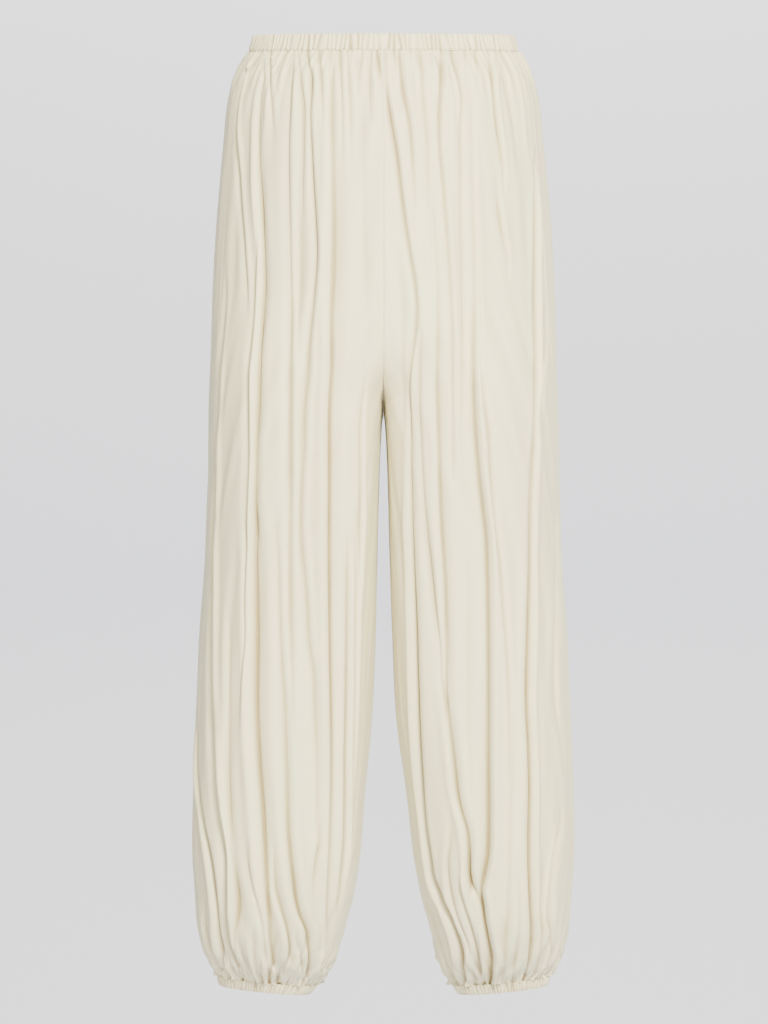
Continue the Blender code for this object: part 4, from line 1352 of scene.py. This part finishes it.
@dataclass
class Stitching:
    """A row of stitches along a closed path, made by Geometry Nodes."""

    pitch: float = 4.3 * MM
    length: float = 2.9 * MM
    thickness: float = 0.5 * MM

    def tree(self, material: bpy.types.Material) -> bpy.types.NodeTree:
        """The tree that lays a stitch at every pitch along the path.

        Args:
            material: The thread.

        Returns:
            The node tree, with inputs named Pitch, Length and Thickness.
        """
        tree = bpy.data.node_groups.new("stitch_row", "GeometryNodeTree")
        tree.interface.new_socket("Geometry", in_out="INPUT", socket_type="NodeSocketGeometry")
        for name in ("Pitch", "Length", "Thickness"):
            tree.interface.new_socket(name, in_out="INPUT", socket_type="NodeSocketFloat")
        tree.interface.new_socket("Geometry", in_out="OUTPUT", socket_type="NodeSocketGeometry")
        net = NodeNet(tree)
        given = net.add("NodeGroupInput").outputs
        curve = net.add("GeometryNodeMeshToCurve", {"Mesh": given["Geometry"]})
        spaced = net.add("GeometryNodeResampleCurve", {
            "Curve": curve.outputs["Curve"], "Length": given["Pitch"],
        }, mode="LENGTH")
        stitch = net.add("GeometryNodeMeshUVSphere", {"Segments": 8, "Rings": 5, "Radius": 0.5})
        tangent = net.add("GeometryNodeInputTangent")
        turned = net.add("FunctionNodeAlignRotationToVector", {"Vector": tangent.outputs["Tangent"]}, axis="Z")
        size = net.add("ShaderNodeCombineXYZ", {
            "X": given["Thickness"], "Y": given["Thickness"], "Z": given["Length"],
        })
        laid = net.add("GeometryNodeInstanceOnPoints", {
            "Points": spaced.outputs["Curve"], "Instance": stitch.outputs["Mesh"],
            "Rotation": turned.outputs["Rotation"], "Scale": size.outputs["Vector"],
        })
        real = net.add("GeometryNodeRealizeInstances", {"Geometry": laid.outputs["Instances"]})
        dressed = net.add("GeometryNodeSetMaterial", {
            "Geometry": real.outputs["Geometry"], "Material": material,
        })
        net.add("NodeGroupOutput", {"Geometry": dressed.outputs["Geometry"]})
        return tree

    def build(self, name: str, path: np.ndarray, material: bpy.types.Material) -> bpy.types.Object:
        """A row of stitches as one plain mesh.

        Args:
            name: The piece's name.
            path: Points along a closed path.
            material: The thread.

        Returns:
            The new object.
        """
        guide_mesh = bpy.data.meshes.new(f"{name}_guide")
        edges = [(i, (i + 1) % len(path)) for i in range(len(path))]
        guide_mesh.from_pydata(path.tolist(), edges, [])
        guide = add_object(f"{name}_guide", guide_mesh)
        modifier = guide.modifiers.new("stitches", "NODES")
        tree = self.tree(material)
        modifier.node_group = tree
        sizes = {"Pitch": self.pitch, "Length": self.length, "Thickness": self.thickness}
        for item in tree.interface.items_tree:
            if item.item_type == "SOCKET" and item.in_out == "INPUT" and item.name in sizes:
                modifier[item.identifier] = sizes[item.name]
        shown = guide.evaluated_get(bpy.context.evaluated_depsgraph_get())
        mesh = bpy.data.meshes.new_from_object(shown)
        mesh.name = name
        mesh.materials.clear()
        mesh.materials.append(material)
        mesh.shade_smooth()
        bpy.data.objects.remove(guide)
        return add_object(name, mesh)


class Lamp(NamedTuple):
    """A soft rectangular light: where it stands, what point it faces, its width and height, and its power."""

    name: str
    at: tuple[float, float, float]
    aim: tuple[float, float, float]
    size: tuple[float, float]
    watts: float


LAMPS = (
    Lamp("key", (0.9, -3.9, 1.7), (0.0, 0.0, -0.5), (1.0, 1.2), 670.0),
    Lamp("right_side", (3.4, -1.4, 0.2), (0.0, 0.0, -0.5), (1.4, 2.0), 85.0),
    Lamp("left_fill", (-1.7, -3.7, -0.1), (0.0, 0.0, -0.5), (1.0, 1.6), 110.0),
    Lamp("backdrop_wash", (0.6, 4.4, 4.6), (0.3, 7.6, -1.2), (9.0, 1.6), 1330.0),
)


@dataclass
class Studio:
    """The pale backdrop, the soft lights and the camera."""

    frame_height: float = 1.0752
    eye_drop: float = 492.9 * MM
    eye_distance: float = 4.5
    eye_aside: float = 0.5 * MM
    sensor: float = 36.0
    floor_drop: float = 2.2
    wall_depth: float = 7.6
    bend: float = 1.5
    bend_steps: int = 24
    half_width: float = 9.0
    floor_front: float = -9.0
    wall_top: float = 8.0
    backdrop: tuple[float, float, float] = (0.60, 0.628, 0.785)
    light_colour: tuple[float, float, float] = (1.0, 0.945, 0.74)
    surround: float = 0.40

    def build_camera(self) -> None:
        """A level camera straight in front, at the photograph's scale."""
        data = bpy.data.cameras.new("camera")
        data.sensor_fit = "AUTO"
        data.sensor_width = self.sensor
        data.lens = self.sensor * self.eye_distance / self.frame_height
        camera = add_object("camera", data)
        camera.location = (self.eye_aside, -self.eye_distance, -self.eye_drop)
        camera.rotation_euler = (math.pi / 2, 0.0, 0.0)
        bpy.context.scene.camera = camera

    def build_backdrop(self) -> None:
        """A floor that bends up into a wall."""
        profile = [(self.floor_front, -self.floor_drop)]
        for step in range(self.bend_steps + 1):
            angle = math.pi / 2 * step / self.bend_steps
            y = self.wall_depth - self.bend + self.bend * math.sin(angle)
            z = -self.floor_drop + self.bend * (1 - math.cos(angle))
            profile.append((y, z))
        profile.append((self.wall_depth, self.wall_top))
        points = [(x, y, z) for y, z in profile for x in (-self.half_width, self.half_width)]
        faces = [(2 * i, 2 * i + 1, 2 * i + 3, 2 * i + 2) for i in range(len(profile) - 1)]
        mesh = bpy.data.meshes.new("backdrop")
        mesh.from_pydata(points, [], faces)
        mesh.shade_smooth()
        material, net, shader = new_material("backdrop_paper")
        net.feed(shader, {"Base Color": (*self.backdrop, 1), "Roughness": 0.9, "Specular IOR Level": 0.1})
        mesh.materials.append(material)
        add_object("backdrop", mesh)

    def build_lamp(self, lamp: Lamp) -> None:
        """One soft rectangular light."""
        data = bpy.data.lights.new(lamp.name, "AREA")
        data.shape = "RECTANGLE"
        data.size, data.size_y = lamp.size
        data.energy = lamp.watts
        data.color = self.light_colour
        made = add_object(lamp.name, data)
        way = np.array(lamp.aim) - np.array(lamp.at)
        flat = math.hypot(way[0], way[1])
        made.location = lamp.at
        made.rotation_euler = (math.atan2(flat, -way[2]), 0.0, math.atan2(-way[0], way[1]))

    def build_lights(self) -> None:
        """Broad soft lights from the front and a pale surround."""
        for lamp in LAMPS:
            self.build_lamp(lamp)
        world = bpy.data.worlds.new("surround")
        world.use_nodes = True
        surround = world.node_tree.nodes["Background"]
        surround.inputs["Color"].default_value = (*self.light_colour, 1.0)
        surround.inputs["Strength"].default_value = self.surround
        bpy.context.scene.world = world

    def build(self) -> None:
        """Everything round the trousers."""
        self.build_camera()
        self.build_backdrop()
        self.build_lights()
        log.info("studio ready")


# The last colour of each cloth is painted shade for its creases.
CLOTH = ClothFinish(
    name="cream_twill", light=(0.775, 0.72, 0.50), warm=(0.79, 0.712, 0.507), cool=(0.757, 0.727, 0.495),
    crease_shade_colour=(0.40, 0.315, 0.16), weave_pitch=0.55 * MM, weave_bump=0.35, roughness=0.56, sheen=0.12,
)
POCKET_CLOTH = ClothFinish(
    name="pocket_lining", light=(0.76, 0.735, 0.655), warm=(0.765, 0.73, 0.655), cool=(0.75, 0.735, 0.65),
    crease_shade_colour=(0.68, 0.60, 0.48), weave_pitch=0.4 * MM, weave_bump=0.2, roughness=0.7, sheen=0.1,
)

WAIST_CASING = CasingSizes(WAIST_CASING_TOP, WAIST_SEAM, 126)
ANKLE_CASING = CasingSizes(ANKLE_SEAM, ANKLE_CASING_END, 76, gather_depth=2.3 * MM, bulge=0.4 * MM)


class Trousers:
    """The whole garment, built piece by piece."""

    def __init__(self) -> None:
        """Makes the finishes and the shared sizes."""
        self.cloth = CLOTH.build()
        self.pocket_cloth = POCKET_CLOTH.build()
        self.thread = ThreadFinish().build()
        self.panel_sizes = PanelSizes()
        self.stitching = Stitching()

    def dress(self, piece: bpy.types.Object, material: bpy.types.Material, slot: str, *nodes: str) -> None:
        """Gives a piece its finish and body, and hides the solids that it stands for."""
        piece.data.materials.clear()
        piece.data.materials.append(material)
        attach(piece, BODY)
        if nodes:
            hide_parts(*nodes)
        log.info("%s: %d faces", piece.name, len(piece.data.polygons))

    def build_panels(self) -> None:
        """The four cloth panels."""
        for side in Side:
            for face in Face:
                panel = LegPanel(side, face, self.panel_sizes)
                piece = panel.build()
                self.dress(piece, self.cloth, "cloth", panel.node)

    def build_casings(self) -> None:
        """The waist and ankle casings and their stitching."""
        casings = [Casing("waist_band", "waist_casing", WAIST_CASING, None)]
        for side in Side:
            casings.append(Casing(f"ankle_band_{side.word}", f"ankle_casing_{side.word}", ANKLE_CASING, side))
        for casing in casings:
            piece = casing.build()
            self.dress(piece, self.cloth, "casing", casing.node)
            row = self.stitching.build(f"{casing.name}_stitches", casing.stitch_path(), self.thread)
            self.dress(row, self.thread, "casing")

    def build_pockets(self) -> None:
        """The two pocket bags."""
        for side in Side:
            piece = PocketBag(side, PocketSizes()).build()
            self.dress(piece, self.pocket_cloth, "pocket_cloth", f"pocket_bag_{side.word}")

    def build(self) -> None:
        """Every piece of the garment."""
        self.build_panels()
        self.build_casings()
        self.build_pockets()


def write_sizes() -> None:
    """Updates the view layer."""
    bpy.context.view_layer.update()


def main() -> None:
    """Builds the studio and the trousers."""
    Studio().build()
    Trousers().build()
    write_sizes()


if __name__ == "__main__":
    main()
